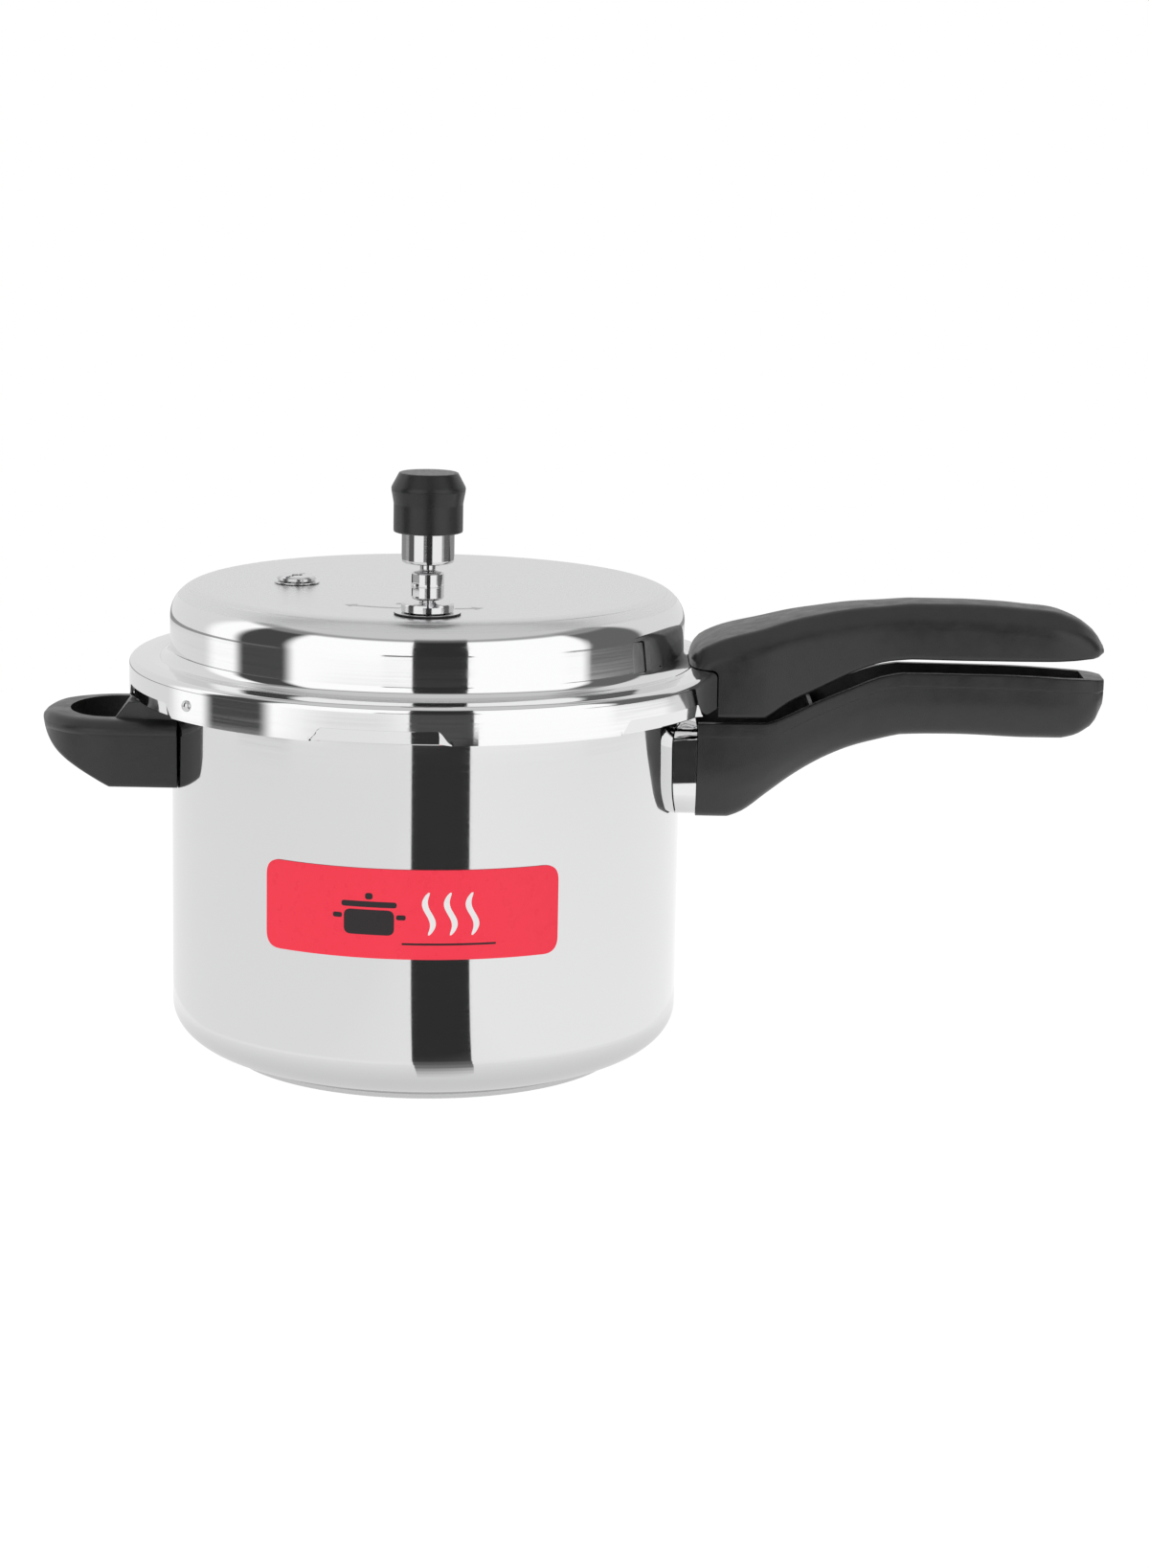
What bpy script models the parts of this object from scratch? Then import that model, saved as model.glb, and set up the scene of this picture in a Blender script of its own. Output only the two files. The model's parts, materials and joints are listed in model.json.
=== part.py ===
"""Stovetop pressure cooker with an outer locking lid, as separate solids.

Metres, +Z up. The origin is on the pot's axis at the base's underside; the long handles point along +X
and the helper handle along -X. The front is -Y. Everything is at rest: lid locked, weight seated.
"""

import math

import bmesh
import bpy
from mathutils import Matrix, Vector

GAP = 0.0003            # clearance left between touching pieces
MERGE = 1e-5            # points closer than this become one
BIG_STEPS = 60          # facets round the pot and the lid
SMALL_STEPS = 20        # facets round the small turned pieces

# Pot
POT_R = 0.105
POT_WALL = 0.003
BASE_R = 0.0821
BASE_TOP = 0.0032
POT_FLOOR_Z = BASE_TOP + GAP
CORNER_WIDTH = 0.026
CORNER_HEIGHT = 0.0185
RIM_UNDER_Z = 0.1575
RIM_TOP_Z = 0.1605
RIM_R = 0.1135
POT_LUG_R = 0.1178
POT_LUG_HALF_ANGLE = 12.0

# Lid
LID_TOP_Z = 0.1958
LID_R = 0.1057
LID_SHEET = 0.0023
SHOULDER = 0.0127
FLANGE_TOP_Z = 0.1666
FILLET = 0.0044
SKIRT_R = 0.1223
SKIRT_BOTTOM_Z = 0.1514
LID_LUG_R = 0.1152      # inner face of the lid's lugs
LUG_COUNT = 6
LUG_HALF_ANGLE = 12.2
LUG_HEIGHT = 0.0052
PRESS_R = SKIRT_R - 0.0030   # outer face of the skirt where a lug is pressed in
PRESS_HALF_ANGLE = 11.4
FRONT_LUG_ANGLE = -96.3  # the lug nearest the front, from +X

# Steam vent and weight, off centre towards the front
VENT_X = 0.003
VENT_Y = -0.079
VENT_HOLE_R = 0.0052
VALVE_X = -0.054
VALVE_Y = -0.001
RIVET_ANGLE = -138.0
RIVET_Z = 0.1580

# Handles
POT_HANDLE_ROOT_X = 0.1115
HELPER_TIP_X = -0.1585
WEDGE_FOOT_Z = 0.136
# x, half width, top of the wedge between the helper handle's hole and the pot
HELPER_WEDGE = (
    (-0.1262, 0.0265, 0.1425),
    (-0.1205, 0.0275, 0.1495),
    (-0.1120, 0.0290, 0.1505),
    (-0.1000, 0.0300, 0.1506),
)
WALL = 0.004            # moulded handle wall
FERRULE_WALL = 0.0028
SCREW_R = 0.002
SCREW_HOLE_R = SCREW_R + GAP
SCREW_CLEAR_R = SCREW_R + 0.0008    # bore through a moulded handle

BLACK = (0.022, 0.022, 0.023)
POLISHED = (0.90, 0.90, 0.91)
STEEL = (0.72, 0.72, 0.74)
RUBBER = (0.03, 0.03, 0.032)
CORAL = (0.92, 0.08, 0.11)
BASE_METAL = (0.62, 0.62, 0.63)
FUSIBLE = (0.55, 0.55, 0.56)


# ---------------------------------------------------------------- scene, materials, small helpers


def clear_scene():
    for obj in list(bpy.data.objects):
        bpy.data.objects.remove(obj, do_unlink=True)


def collection(name, helper=False):
    made = bpy.data.collections.new(name)
    bpy.context.scene.collection.children.link(made)
    made.hide_render = helper
    return made


def material(name, colour, roughness, metallic=0.0):
    made = bpy.data.materials.new(name)
    made.use_nodes = True
    shader = made.node_tree.nodes["Principled BSDF"]
    shader.inputs["Base Color"].default_value = (*colour, 1)
    shader.inputs["Roughness"].default_value = roughness
    shader.inputs["Metallic"].default_value = metallic
    return made


def polished(name):
    return material(name, POLISHED, 0.12, 1.0)


def steel(name):
    return material(name, STEEL, 0.2, 1.0)


def bakelite(name):
    return material(name, BLACK, 0.55)


def add_object(name, bm, surface=None, smooth=True):
    """Makes an object of the bmesh: a part where a material is given, and otherwise a hidden cutter."""
    bmesh.ops.recalc_face_normals(bm, faces=bm.faces)
    mesh = bpy.data.meshes.new(name)
    bm.to_mesh(mesh)
    bm.free()
    obj = bpy.data.objects.new(name, mesh)
    if surface is None:
        bpy.data.collections["cutters"].objects.link(obj)
        obj.hide_render = True
        obj.display_type = "WIRE"
        return obj
    bpy.data.collections["pressure_cooker"].objects.link(obj)
    mesh.materials.append(surface)
    if smooth:
        mesh.shade_smooth()
        mesh.set_sharp_from_angle(angle=math.radians(35))
    return obj


def turned(name, profile, surface=None, steps=SMALL_STEPS, at=(0, 0, 0)):
    """Turns (radius, height) points, which run down the outer side, about a vertical axis.
    A profile that starts on the axis also ends on it; any other one is a ring, and is closed."""
    bm = bmesh.new()
    verts = [bm.verts.new((r, 0, z)) for r, z in profile]
    for a, b in zip(verts, verts[1:]):
        bm.edges.new((a, b))
    if profile[0][0] > 0:
        bm.edges.new((verts[-1], verts[0]))
    obj = add_object(name, bm, surface)
    obj.location = at
    screw = obj.modifiers.new("Turn", "SCREW")
    screw.steps = screw.render_steps = steps
    screw.use_merge_vertices = True
    screw.merge_threshold = MERGE
    screw.use_smooth_shade = True
    return obj


def cylinder(name, start, end, radius, surface=None, steps=SMALL_STEPS, end_radius=None):
    """A cylinder or cone between two points."""
    start, end = Vector(start), Vector(end)
    along = end - start
    bm = bmesh.new()
    place = Matrix.Translation((start + end) / 2) @ along.to_track_quat("Z", "Y").to_matrix().to_4x4()
    bmesh.ops.create_cone(
        bm, cap_ends=True, segments=steps, radius1=radius, radius2=end_radius or radius,
        depth=along.length, matrix=place,
    )
    return add_object(name, bm, surface)


def box(name, low, high, surface=None):
    low, high = Vector(low), Vector(high)
    bm = bmesh.new()
    place = Matrix.Translation((low + high) / 2) @ Matrix.Diagonal((*(high - low), 1))
    bmesh.ops.create_cube(bm, size=1, matrix=place)
    return add_object(name, bm, surface)


def sector(name, inner, outer, low, high, middle, half_angle, surface=None, steps=6):
    """A block that bends round the Z axis, centred on an angle in degrees."""
    bm = bmesh.new()
    rings = []
    for i in range(steps + 1):
        angle = math.radians(middle - half_angle + 2 * half_angle * i / steps)
        corners = ((inner, low), (outer, low), (outer, high), (inner, high))
        rings.append([bm.verts.new((r * math.cos(angle), r * math.sin(angle), z)) for r, z in corners])
    join_rings(bm, rings)
    return add_object(name, bm, surface)


def join_rings(bm, rings):
    """Skins a row of equal rings of vertices and caps both ends."""
    for a, b in zip(rings, rings[1:]):
        for i in range(len(a)):
            j = (i + 1) % len(a)
            bm.faces.new((a[i], a[j], b[j], b[i]))
    bm.faces.new(rings[0])
    bm.faces.new(reversed(rings[-1]))


def boolean(obj, other, operation="DIFFERENCE"):
    modifier = obj.modifiers.new(operation.title(), "BOOLEAN")
    modifier.operation = operation
    modifier.solver = "EXACT"
    modifier.object = other


def arc(centre, size, start, end, steps):
    """Points on an ellipse quarter or the like, angles in degrees from +X."""
    points = []
    for i in range(steps + 1):
        angle = math.radians(start + (end - start) * i / steps)
        points.append((centre[0] + size[0] * math.cos(angle), centre[1] + size[1] * math.sin(angle)))
    return points


def lug_angles():
    return [FRONT_LUG_ANGLE + 360 / LUG_COUNT * i for i in range(LUG_COUNT)]


# ---------------------------------------------------------------- lofted handles


def rounded(points, radius, steps=3):
    """Swaps each inner corner of an open outline for a short curve."""
    made = [points[0]]
    for before, corner, after in zip(points, points[1:], points[2:]):
        corner_v = Vector(corner)
        back, ahead = Vector(before) - corner_v, Vector(after) - corner_v
        start = corner_v + back.normalized() * min(radius, back.length * 0.45)
        end = corner_v + ahead.normalized() * min(radius, ahead.length * 0.45)
        for i in range(steps + 1):
            t = i / steps
            made.append(tuple(start * (1 - t) ** 2 + corner_v * 2 * t * (1 - t) + end * t * t))
    made.append(points[-1])
    return made


def between(table, x):
    """The row of a table at x, read straight between its rows. The first column is x."""
    for a, b in zip(table, table[1:]):
        if x <= b[0]:
            t = max(0.0, (x - a[0]) / (b[0] - a[0]))
            return [p + (q - p) * t for p, q in zip(a[1:], b[1:])]
    return list(table[-1][1:])


def loft(name, sections, surface=None):
    """Skins (x, half outline) sections. A half runs from the bottom centre to the top centre at +Y."""
    bm = bmesh.new()
    rings = []
    for x, half in sections:
        ring = [(y, z) for y, z in half] + [(-y, z) for y, z in reversed(half[1:-1])]
        rings.append([bm.verts.new((x, y, z)) for y, z in ring])
    join_rings(bm, rings)
    return add_object(name, bm, surface)


# x, bottom, top, half width of the flat top, half width of the sides
LID_HANDLE = (
    (0.1075, 0.1468, 0.1668, 0.0100, 0.0262),
    (0.1088, 0.1468, 0.1706, 0.0160, 0.0270),
    (0.1105, 0.1468, 0.1732, 0.0190, 0.0277),
    (0.1124, 0.1468, 0.1750, 0.0208, 0.0282),
    (0.1160, 0.1468, 0.1769, 0.0217, 0.0285),
    (0.1385, 0.1468, 0.1837, 0.0195, 0.0270),
    (0.1485, 0.1533, 0.1866, 0.0165, 0.0248),
    (0.1608, 0.1590, 0.1891, 0.0138, 0.0222),
    (0.1736, 0.1650, 0.1912, 0.0120, 0.0198),
    (0.1860, 0.1692, 0.1923, 0.0108, 0.0178),
    (0.1985, 0.1706, 0.1934, 0.0098, 0.0168),
    (0.2200, 0.1704, 0.1935, 0.0090, 0.0164),
    (0.2450, 0.1704, 0.1921, 0.0088, 0.0160),
    (0.2610, 0.1706, 0.1899, 0.0078, 0.0150),
    (0.2700, 0.1711, 0.1855, 0.0058, 0.0125),
    (0.2760, 0.1717, 0.1798, 0.0036, 0.0085),
    (0.2785, 0.1730, 0.1756, 0.0015, 0.0040),
)

# x, bottom, rim, half width at the bottom, half width at the rim
POT_HANDLE = (
    (0.1115, 0.1041, 0.1448, 0.0190, 0.0285),
    (0.1245, 0.1040, 0.1448, 0.0185, 0.0280),
    (0.1307, 0.1064, 0.1448, 0.0180, 0.0275),
    (0.1397, 0.1131, 0.1448, 0.0170, 0.0265),
    (0.1497, 0.1205, 0.1486, 0.0158, 0.0246),
    (0.1598, 0.1267, 0.1532, 0.0146, 0.0222),
    (0.1736, 0.1328, 0.1586, 0.0130, 0.0192),
    (0.1859, 0.1362, 0.1632, 0.0120, 0.0172),
    (0.1950, 0.1382, 0.1649, 0.0112, 0.0163),
    (0.2180, 0.1387, 0.1648, 0.0106, 0.0156),
    (0.2480, 0.1378, 0.1643, 0.0104, 0.0154),
    (0.2620, 0.1378, 0.1636, 0.0100, 0.0148),
    (0.2709, 0.1408, 0.1632, 0.0085, 0.0132),
    (0.2757, 0.1450, 0.1629, 0.0065, 0.0108),
    (0.2785, 0.1512, 0.1626, 0.0045, 0.0075),
)


def lid_handle_half(bottom, top, flat, side):
    """Half section of the lid handle: flat top, long chamfers, nearly upright sides."""
    chamfer = min(0.0075, (top - bottom) * 0.42)
    corners = [(0, bottom), (side * 0.96, bottom), (side, top - chamfer), (flat, top), (0, top)]
    return rounded(corners, 0.0025)


def pot_handle_half(bottom, rim, low, wide):
    """Half section of the pot handle: narrow round bottom that widens to the rim."""
    bulge = bottom + (rim - bottom) * 0.42
    corners = [(0, bottom), (low, bottom), (wide * 0.97, bulge), (wide, rim), (0, rim)]
    return rounded(corners, 0.0035)


def lid_handle_cavity():
    """Hollow of the lid handle's underside, shallower where the bracket is screwed on."""
    root, step, roof_over_bracket, roof_thickness, below = 0.1124, 0.1630, 0.1650, 0.0065, 0.01
    sections = []
    for x in (0.100, step - 0.0005, step + 0.0005, 0.1860, 0.2200, 0.2450, 0.2600):
        bottom, top, flat, side = between(LID_HANDLE, max(x, root))
        roof = roof_over_bracket if x < step else top - roof_thickness
        upper = min(side, flat + 0.006) - WALL
        half = [(0, bottom - below), (side - WALL, bottom - below), (upper, roof), (0, roof)]
        sections.append((x, half))
    return loft("lid_handle_cavity_cut", sections)


def pot_handle_channel():
    """Open channel of the pot handle, with a thick floor at the root for its screw."""
    floor_at_screw = 0.1186
    sections = []
    for x in (0.100, 0.1397, 0.1497, 0.1598, 0.1736, 0.1859, 0.1950, 0.2480, 0.2620, 0.2700):
        bottom, rim, low, wide = between(POT_HANDLE, x)
        floor = max(bottom + 0.005, floor_at_screw)
        side, above = wide - WALL, rim + 0.01
        half = [(0, floor), (low - 0.001, floor), (side, rim - 0.004), (side, above), (0, above)]
        sections.append((x, half))
    return loft("pot_handle_channel_cut", sections)


def screw_profile(tip, seat, head_r, head_height):
    """A screw whose tip points up, with its head under the seat."""
    point_r, point_height, bevel = 0.0014, 0.0008, 0.0010
    shank = [(0, tip), (point_r, tip), (SCREW_R, tip - point_height), (SCREW_R, seat)]
    low = seat - head_height
    return shank + [(head_r, seat), (head_r, low + bevel), (head_r - bevel, low), (0, low)]


# ---------------------------------------------------------------- pot


def pot_keep_out():
    """The pot's outer cylinder with a clearance, which cuts whatever is fastened against it."""
    r = POT_R + GAP
    return turned("pot_keep_out", [(0, 0.20), (r, 0.20), (r, -0.02), (0, -0.02)], steps=BIG_STEPS)


def make_pot_body():
    inner = POT_R - POT_WALL
    floor_in = POT_FLOOR_Z + POT_WALL
    centre_out = (POT_R - CORNER_WIDTH, POT_FLOOR_Z + CORNER_HEIGHT)
    corner_out = arc(centre_out, (CORNER_WIDTH, CORNER_HEIGHT), 0, -90, 7)
    width, height = CORNER_WIDTH - POT_WALL, CORNER_HEIGHT - POT_WALL
    corner_in = arc((inner - width, floor_in + height), (width, height), -90, 0, 6)
    profile = [(0, floor_in)] + corner_in
    profile += [(inner, RIM_TOP_Z), (RIM_R, RIM_TOP_Z), (RIM_R, RIM_UNDER_Z), (POT_R, RIM_UNDER_Z - 0.001)]
    profile += corner_out + [(0, POT_FLOOR_Z)]
    body = turned("pot_body", profile, polished("pot_aluminium"), steps=BIG_STEPS)
    for i, angle in enumerate(lug_angles()):
        low, high = RIM_UNDER_Z + 0.0002, RIM_TOP_Z - 0.0002
        lug = sector(f"pot_lug_{i}", RIM_R - 0.003, POT_LUG_R, low, high, angle, POT_LUG_HALF_ANGLE, steps=4)
        boolean(body, lug, "UNION")
    return body


def make_base_plate():
    edge, top_bevel, foot_bevel = BASE_R, 0.0008, 0.001
    profile = [(0, BASE_TOP), (edge - top_bevel, BASE_TOP), (edge, BASE_TOP - top_bevel)]
    profile += [(edge, foot_bevel), (edge - foot_bevel, 0), (0, 0)]
    turned("base_plate", profile, material("base_metal", BASE_METAL, 0.35, 1.0), steps=BIG_STEPS)


def make_label():
    """Thin curved sticker on the pot's front, with plain rounded ends left to the finish."""
    radius, thickness, low, high, middle, half_angle = POT_R + GAP, 0.0003, 0.0634, 0.0992, -90.9, 33.0
    film = material("label_film", CORAL, 0.3)
    sector("label_sticker", radius, radius + thickness, low, high, middle, half_angle, film, steps=22)


def make_pot_handle(keep_out):
    screw_x = 0.126
    sections = [(row[0], pot_handle_half(*row[1:])) for row in POT_HANDLE]
    handle = loft("pot_handle", sections, bakelite("pot_handle_black"))
    boolean(handle, pot_handle_channel())
    boolean(handle, box("pot_handle_web", (0.1575, -0.0195, 0.1400), (0.1590, 0.0195, 0.1505)), "UNION")
    boolean(handle, cylinder("pot_screw_bore", (screw_x, 0, 0.095), (screw_x, 0, 0.130), SCREW_CLEAR_R))
    boolean(handle, cylinder("pot_screw_sink", (screw_x, 0, 0.095), (screw_x, 0, 0.1105), 0.0053))

    metal = steel("pot_bracket_steel")
    bracket = box("pot_handle_bracket", (0.104, -0.010, 0.1190), (0.137, 0.010, 0.1225), metal)
    foot = box("pot_bracket_foot", (0.100, -0.014, 0.1120), (0.1085, 0.014, 0.1340))
    boolean(bracket, foot, "UNION")
    boolean(bracket, keep_out)
    boolean(bracket, cylinder("pot_bracket_hole", (screw_x, 0, 0.117), (screw_x, 0, 0.125), SCREW_HOLE_R))
    screw = screw_profile(0.1270, 0.1102, 0.0048, 0.0034)
    turned("pot_handle_screw", screw, steel("pot_screw_steel"), at=(screw_x, 0, 0))
    make_ferrule(keep_out)


def ferrule_half(wall, high=0.1420):
    """Half section of the ferrule, with a wall's thickness taken off each side."""
    low, foot, flank, shoulder = 0.1052 + wall, 0.0195 - wall, 0.0268 - wall, 0.0278 - wall
    top = high - wall
    foot_top, bevel = 0.1145, 0.003
    corners = [(0, low), (foot, low), (flank, foot_top), (shoulder, top - 0.005)]
    return rounded(corners + [(shoulder - bevel, top), (0, top)], bevel, 2)


def make_ferrule(keep_out):
    """Bright sleeve that fills the space between the pot's wall and the pot handle."""
    root = POT_HANDLE_ROOT_X - GAP
    outer = [(0.092, ferrule_half(0)), (root, ferrule_half(0))]
    ferrule = loft("pot_handle_ferrule", outer, polished("ferrule_steel"))
    inner = [(0.085, ferrule_half(FERRULE_WALL)), (0.115, ferrule_half(FERRULE_WALL))]
    boolean(ferrule, loft("ferrule_hollow", inner))
    boolean(ferrule, keep_out)


def helper_half_width(x):
    """Half width of the helper handle's outline in plan: parallel sides and a round tip."""
    reach = 0.034
    tip = HELPER_TIP_X
    t = min(1.0, (x - tip) / reach)
    return 0.036 * math.sqrt(max(0.0, 1 - (1 - t) ** 2.3))


def helper_sections():
    """Sections of the helper handle: the underside curves up to the tip, where the top edge rolls over."""
    bottom, rise, slope_start, slope_length = 0.1152, 0.0238, -0.1280, 0.0305
    edge, crest, roll, drop = 0.1382, 0.1428, 0.0080, 0.0034
    sections = []
    stations = (-0.1582, -0.1576, -0.1566, -0.1540, -0.1500, -0.1450, -0.1380, -0.1280, -0.1180, -0.1000)
    for x in stations:
        width = helper_half_width(x)
        s = max(0.0, (slope_start - x) / slope_length)
        low = bottom + rise * (0.68 * s + 0.32 * s**8)
        t = max(0.0, 1 - (x - HELPER_TIP_X) / roll)
        top = crest - drop * (1 - math.sqrt(1 - t * t))
        side = max(edge, low + 0.0006)
        corners = [(0, low), (width * 0.96, low), (width, side), (width * 0.90 - 0.0008, top), (0, top)]
        sections.append((x, rounded(corners, 0.0022, 2)))
    return sections


def make_helper_handle(keep_out):
    handle = loft("helper_handle", helper_sections(), bakelite("helper_black"))

    hole = []
    for x in (-0.1472, -0.1460, -0.1425, -0.1370, -0.1290, -0.1215):
        reach = 0.0250 * math.sqrt(max(0.02, 1 - max(0.0, (-0.1290 - x) / 0.0184) ** 2))
        hole.append((x, [(0, 0.10), (reach, 0.10), (reach, 0.16), (0, 0.16)]))
    boolean(handle, loft("helper_hole_cut", hole))
    wedge = []
    for x, width, top in HELPER_WEDGE:
        wedge.append((x, [(0, WEDGE_FOOT_Z), (width, WEDGE_FOOT_Z), (width, top), (0, top)]))
    boolean(handle, loft("helper_wedge", wedge), "UNION")
    boolean(handle, box("helper_pocket", (-0.1185, -0.0105, 0.1235), (-0.095, 0.0105, 0.1275)))
    boolean(handle, box("helper_pocket_foot", (-0.1085, -0.0145, 0.1175), (-0.095, 0.0145, 0.1335)))
    screw_x = -0.1135
    boolean(handle, cylinder("helper_screw_bore", (screw_x, 0, 0.110), (screw_x, 0, 0.1325), SCREW_CLEAR_R))
    boolean(handle, cylinder("helper_screw_sink", (screw_x, 0, 0.110), (screw_x, 0, 0.1185), 0.0048))
    boolean(handle, keep_out)

    metal = steel("helper_bracket_steel")
    bracket = box("helper_bracket", (-0.1180, -0.010, 0.1240), (-0.100, 0.010, 0.1270), metal)
    boolean(bracket, box("helper_bracket_foot", (-0.1080, -0.014, 0.1180), (-0.098, 0.014, 0.1330)), "UNION")
    boolean(bracket, keep_out)
    boolean(bracket, cylinder("helper_bracket_hole", (screw_x, 0, 0.120), (screw_x, 0, 0.130), SCREW_HOLE_R))
    screw = screw_profile(0.1310, 0.1182, 0.0043, 0.0026)
    turned("helper_screw", screw, steel("helper_screw_steel"), at=(screw_x, 0, 0))


# ---------------------------------------------------------------- gasket and lid


def make_gasket():
    """Rubber ring that sits on the pot's rim flange and seals under the lid's flange."""
    low, high = RIM_TOP_Z + GAP, FLANGE_TOP_Z - LID_SHEET - GAP
    profile = [
        (0.1050, high - 0.0004), (0.1062, high), (0.1105, high), (0.1115, high - 0.0010),
        (0.1115, low), (0.1046, low), (0.1046, high - 0.0020),
    ]
    turned("sealing_gasket", profile, material("gasket_rubber", RUBBER, 0.7), steps=48)


def lid_fillet(clearance, steps):
    """Hollow curve between the lid's wall and its flange, moved outwards by a clearance."""
    centre = (LID_R + FILLET, FLANGE_TOP_Z + FILLET)
    size = FILLET - clearance
    return arc(centre, (size, size), 180, 262, steps)


def lid_rim(clearance):
    """The flange's slightly crowned top and its rolled edge, moved outwards by a clearance."""
    edge, top = SKIRT_R + clearance, FLANGE_TOP_Z + clearance
    crown = [(0.1130, top + 0.0002), (0.1185, top + 0.0001)]
    return crown + [(edge - 0.0020, top - 0.0004), (edge, top - 0.0024)]


def lid_outer():
    """The lid's outer profile, from the centre of the top down to the skirt's bottom edge."""
    points = [(0, LID_TOP_Z)]
    points += arc((LID_R - SHOULDER, LID_TOP_Z - SHOULDER), (SHOULDER, SHOULDER), 90, 0, 7)
    return points + lid_fillet(0, 4) + lid_rim(0) + [(SKIRT_R, SKIRT_BOTTOM_Z)]


def lid_inner():
    """The lid's inner profile, from the skirt's bottom edge up to the centre of the top."""
    sheet = LID_SHEET
    under = FLANGE_TOP_Z - sheet
    points = [(SKIRT_R - sheet, SKIRT_BOTTOM_Z), (SKIRT_R - sheet, under), (0.1090, under)]
    points += [(0.1062, under + 0.0012), (LID_R - sheet, under + 0.0047)]
    size = SHOULDER - sheet
    points += arc((LID_R - SHOULDER, LID_TOP_Z - SHOULDER), (size, size), 0, 90, 6)
    return points + [(0, LID_TOP_Z - sheet)]


def lid_keep_out():
    """The lid's outer side with a clearance, which cuts the lid handle and its bracket."""
    above, below = 0.22, 0.10
    profile = [(0, above), (LID_R + GAP, above)] + lid_fillet(GAP, 4) + lid_rim(GAP)
    return turned("lid_keep_out", profile + [(SKIRT_R + GAP, below), (0, below)], steps=BIG_STEPS)


def make_lid_shell():
    shell = turned("lid_shell", lid_outer() + lid_inner(), polished("lid_aluminium"), steps=BIG_STEPS)
    for i, angle in enumerate(lug_angles()):
        low, high = SKIRT_BOTTOM_Z + 0.0001, SKIRT_BOTTOM_Z + LUG_HEIGHT
        lug = sector(f"lid_lug_{i}", LID_LUG_R, SKIRT_R - 0.0012, low, high, angle, LUG_HALF_ANGLE)
        boolean(shell, lug, "UNION")
        low, high = SKIRT_BOTTOM_Z - 0.002, high - 0.0012
        press = sector(f"lid_press_{i}", PRESS_R, SKIRT_R + 0.003, low, high, angle, PRESS_HALF_ANGLE)
        boolean(shell, press)
    for name, x, y in (("vent", VENT_X, VENT_Y), ("valve", VALVE_X, VALVE_Y)):
        boolean(shell, cylinder(f"{name}_hole", (x, y, 0.180), (x, y, 0.210), VENT_HOLE_R))
    angle = math.radians(RIVET_ANGLE)
    out = Vector((math.cos(angle), math.sin(angle), 0))
    level = Vector((0, 0, RIVET_Z))
    boolean(shell, cylinder("rivet_hole", level + out * 0.116, level + out * 0.126, 0.0014, steps=10))
    return out, level


def make_rivet(out, level):
    """Stop rivet through the skirt, its round head outside."""
    shank_r, head_r, crown_r, head_height = 0.0011, 0.0024, 0.0012, 0.0016
    inside = level + out * (SKIRT_R - LID_SHEET - 0.0012)
    under_head = level + out * (SKIRT_R + GAP)
    outside = level + out * (SKIRT_R + head_height)
    rivet = cylinder("skirt_rivet", inside, under_head + out * GAP, shank_r, steel("rivet_steel"), steps=10)
    boolean(rivet, cylinder("rivet_head", under_head, outside, head_r, steps=14, end_radius=crown_r), "UNION")


def make_lid_handle(keep_out):
    sections = [(row[0], lid_handle_half(*row[1:])) for row in LID_HANDLE]
    handle = loft("lid_handle", sections, bakelite("lid_handle_black"))
    boolean(handle, lid_handle_cavity())
    screws = (("front", 0.1345), ("rear", 0.1520))
    for name, x in screws:
        bore = cylinder(f"lid_screw_bore_{name}", (x, 0, 0.150), (x, 0, 0.1745), SCREW_HOLE_R, steps=12)
        boolean(handle, bore)
    boolean(handle, keep_out)

    metal = steel("lid_bracket_steel")
    bracket = box("lid_handle_bracket", (0.118, -0.0120, 0.1615), (0.1580, 0.0120, 0.1647), metal)
    boolean(bracket, box("lid_bracket_foot", (0.117, -0.0180, 0.1530), (0.1255, 0.0180, 0.1640)), "UNION")
    boolean(bracket, keep_out)
    for name, x in screws:
        hole = cylinder(f"lid_bracket_hole_{name}", (x, 0, 0.155), (x, 0, 0.170), SCREW_HOLE_R, steps=12)
        boolean(bracket, hole)
        screw = screw_profile(0.1735, 0.1612, 0.0042, 0.0024)
        turned(f"lid_handle_screw_{name}", screw, steel(f"lid_screw_steel_{name}"), steps=12, at=(x, 0, 0))


# ---------------------------------------------------------------- vent, weight and safety valve


def make_vent():
    at = (VENT_X, VENT_Y, 0)
    seat = LID_TOP_Z + GAP + 0.0006 + GAP
    foot_r, foot_top, neck_r, collar_r, bore = 0.0101, seat + 0.0034, 0.0031, 0.0064, 0.0014
    tip, shank_r, shank_end, bevel = 0.2222, 0.0048, 0.1830, 0.0005
    profile = [(bore, tip), (0.0024, tip), (neck_r, 0.2205), (neck_r, 0.2130), (0.0050, 0.2122)]
    profile += [(collar_r, 0.2112), (collar_r, 0.2028), (0.0050, 0.2018), (neck_r, 0.2012)]
    profile += [(neck_r, foot_top), (foot_r - bevel, foot_top), (foot_r, foot_top - bevel), (foot_r, seat)]
    profile += [(shank_r, seat), (shank_r, shank_end), (bore, shank_end)]
    turned("vent_pipe", profile, steel("vent_steel"), at=at)
    ring = LID_TOP_Z + GAP
    rubber = material("washer_rubber", RUBBER, 0.6)
    turned("vent_washer", washer(VENT_HOLE_R, 0.0131, ring + 0.0006, ring), rubber, at=at)
    under = LID_TOP_Z - LID_SHEET - GAP
    inner_washer = washer(VENT_HOLE_R, 0.0100, under, under - 0.0010)
    turned("vent_inner_washer", inner_washer, steel("inner_washer_steel"), at=at)
    nut_top = under - 0.0010 - GAP
    hex_nut("vent_nut", at, 0.0098, nut_top, nut_top - 0.0045, steel("vent_nut_steel"))


def washer(inner, outer, high, low):
    """A plain ring's profile, running down its outer side."""
    return [(inner, high), (outer, high), (outer, low), (inner, low)]


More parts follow.
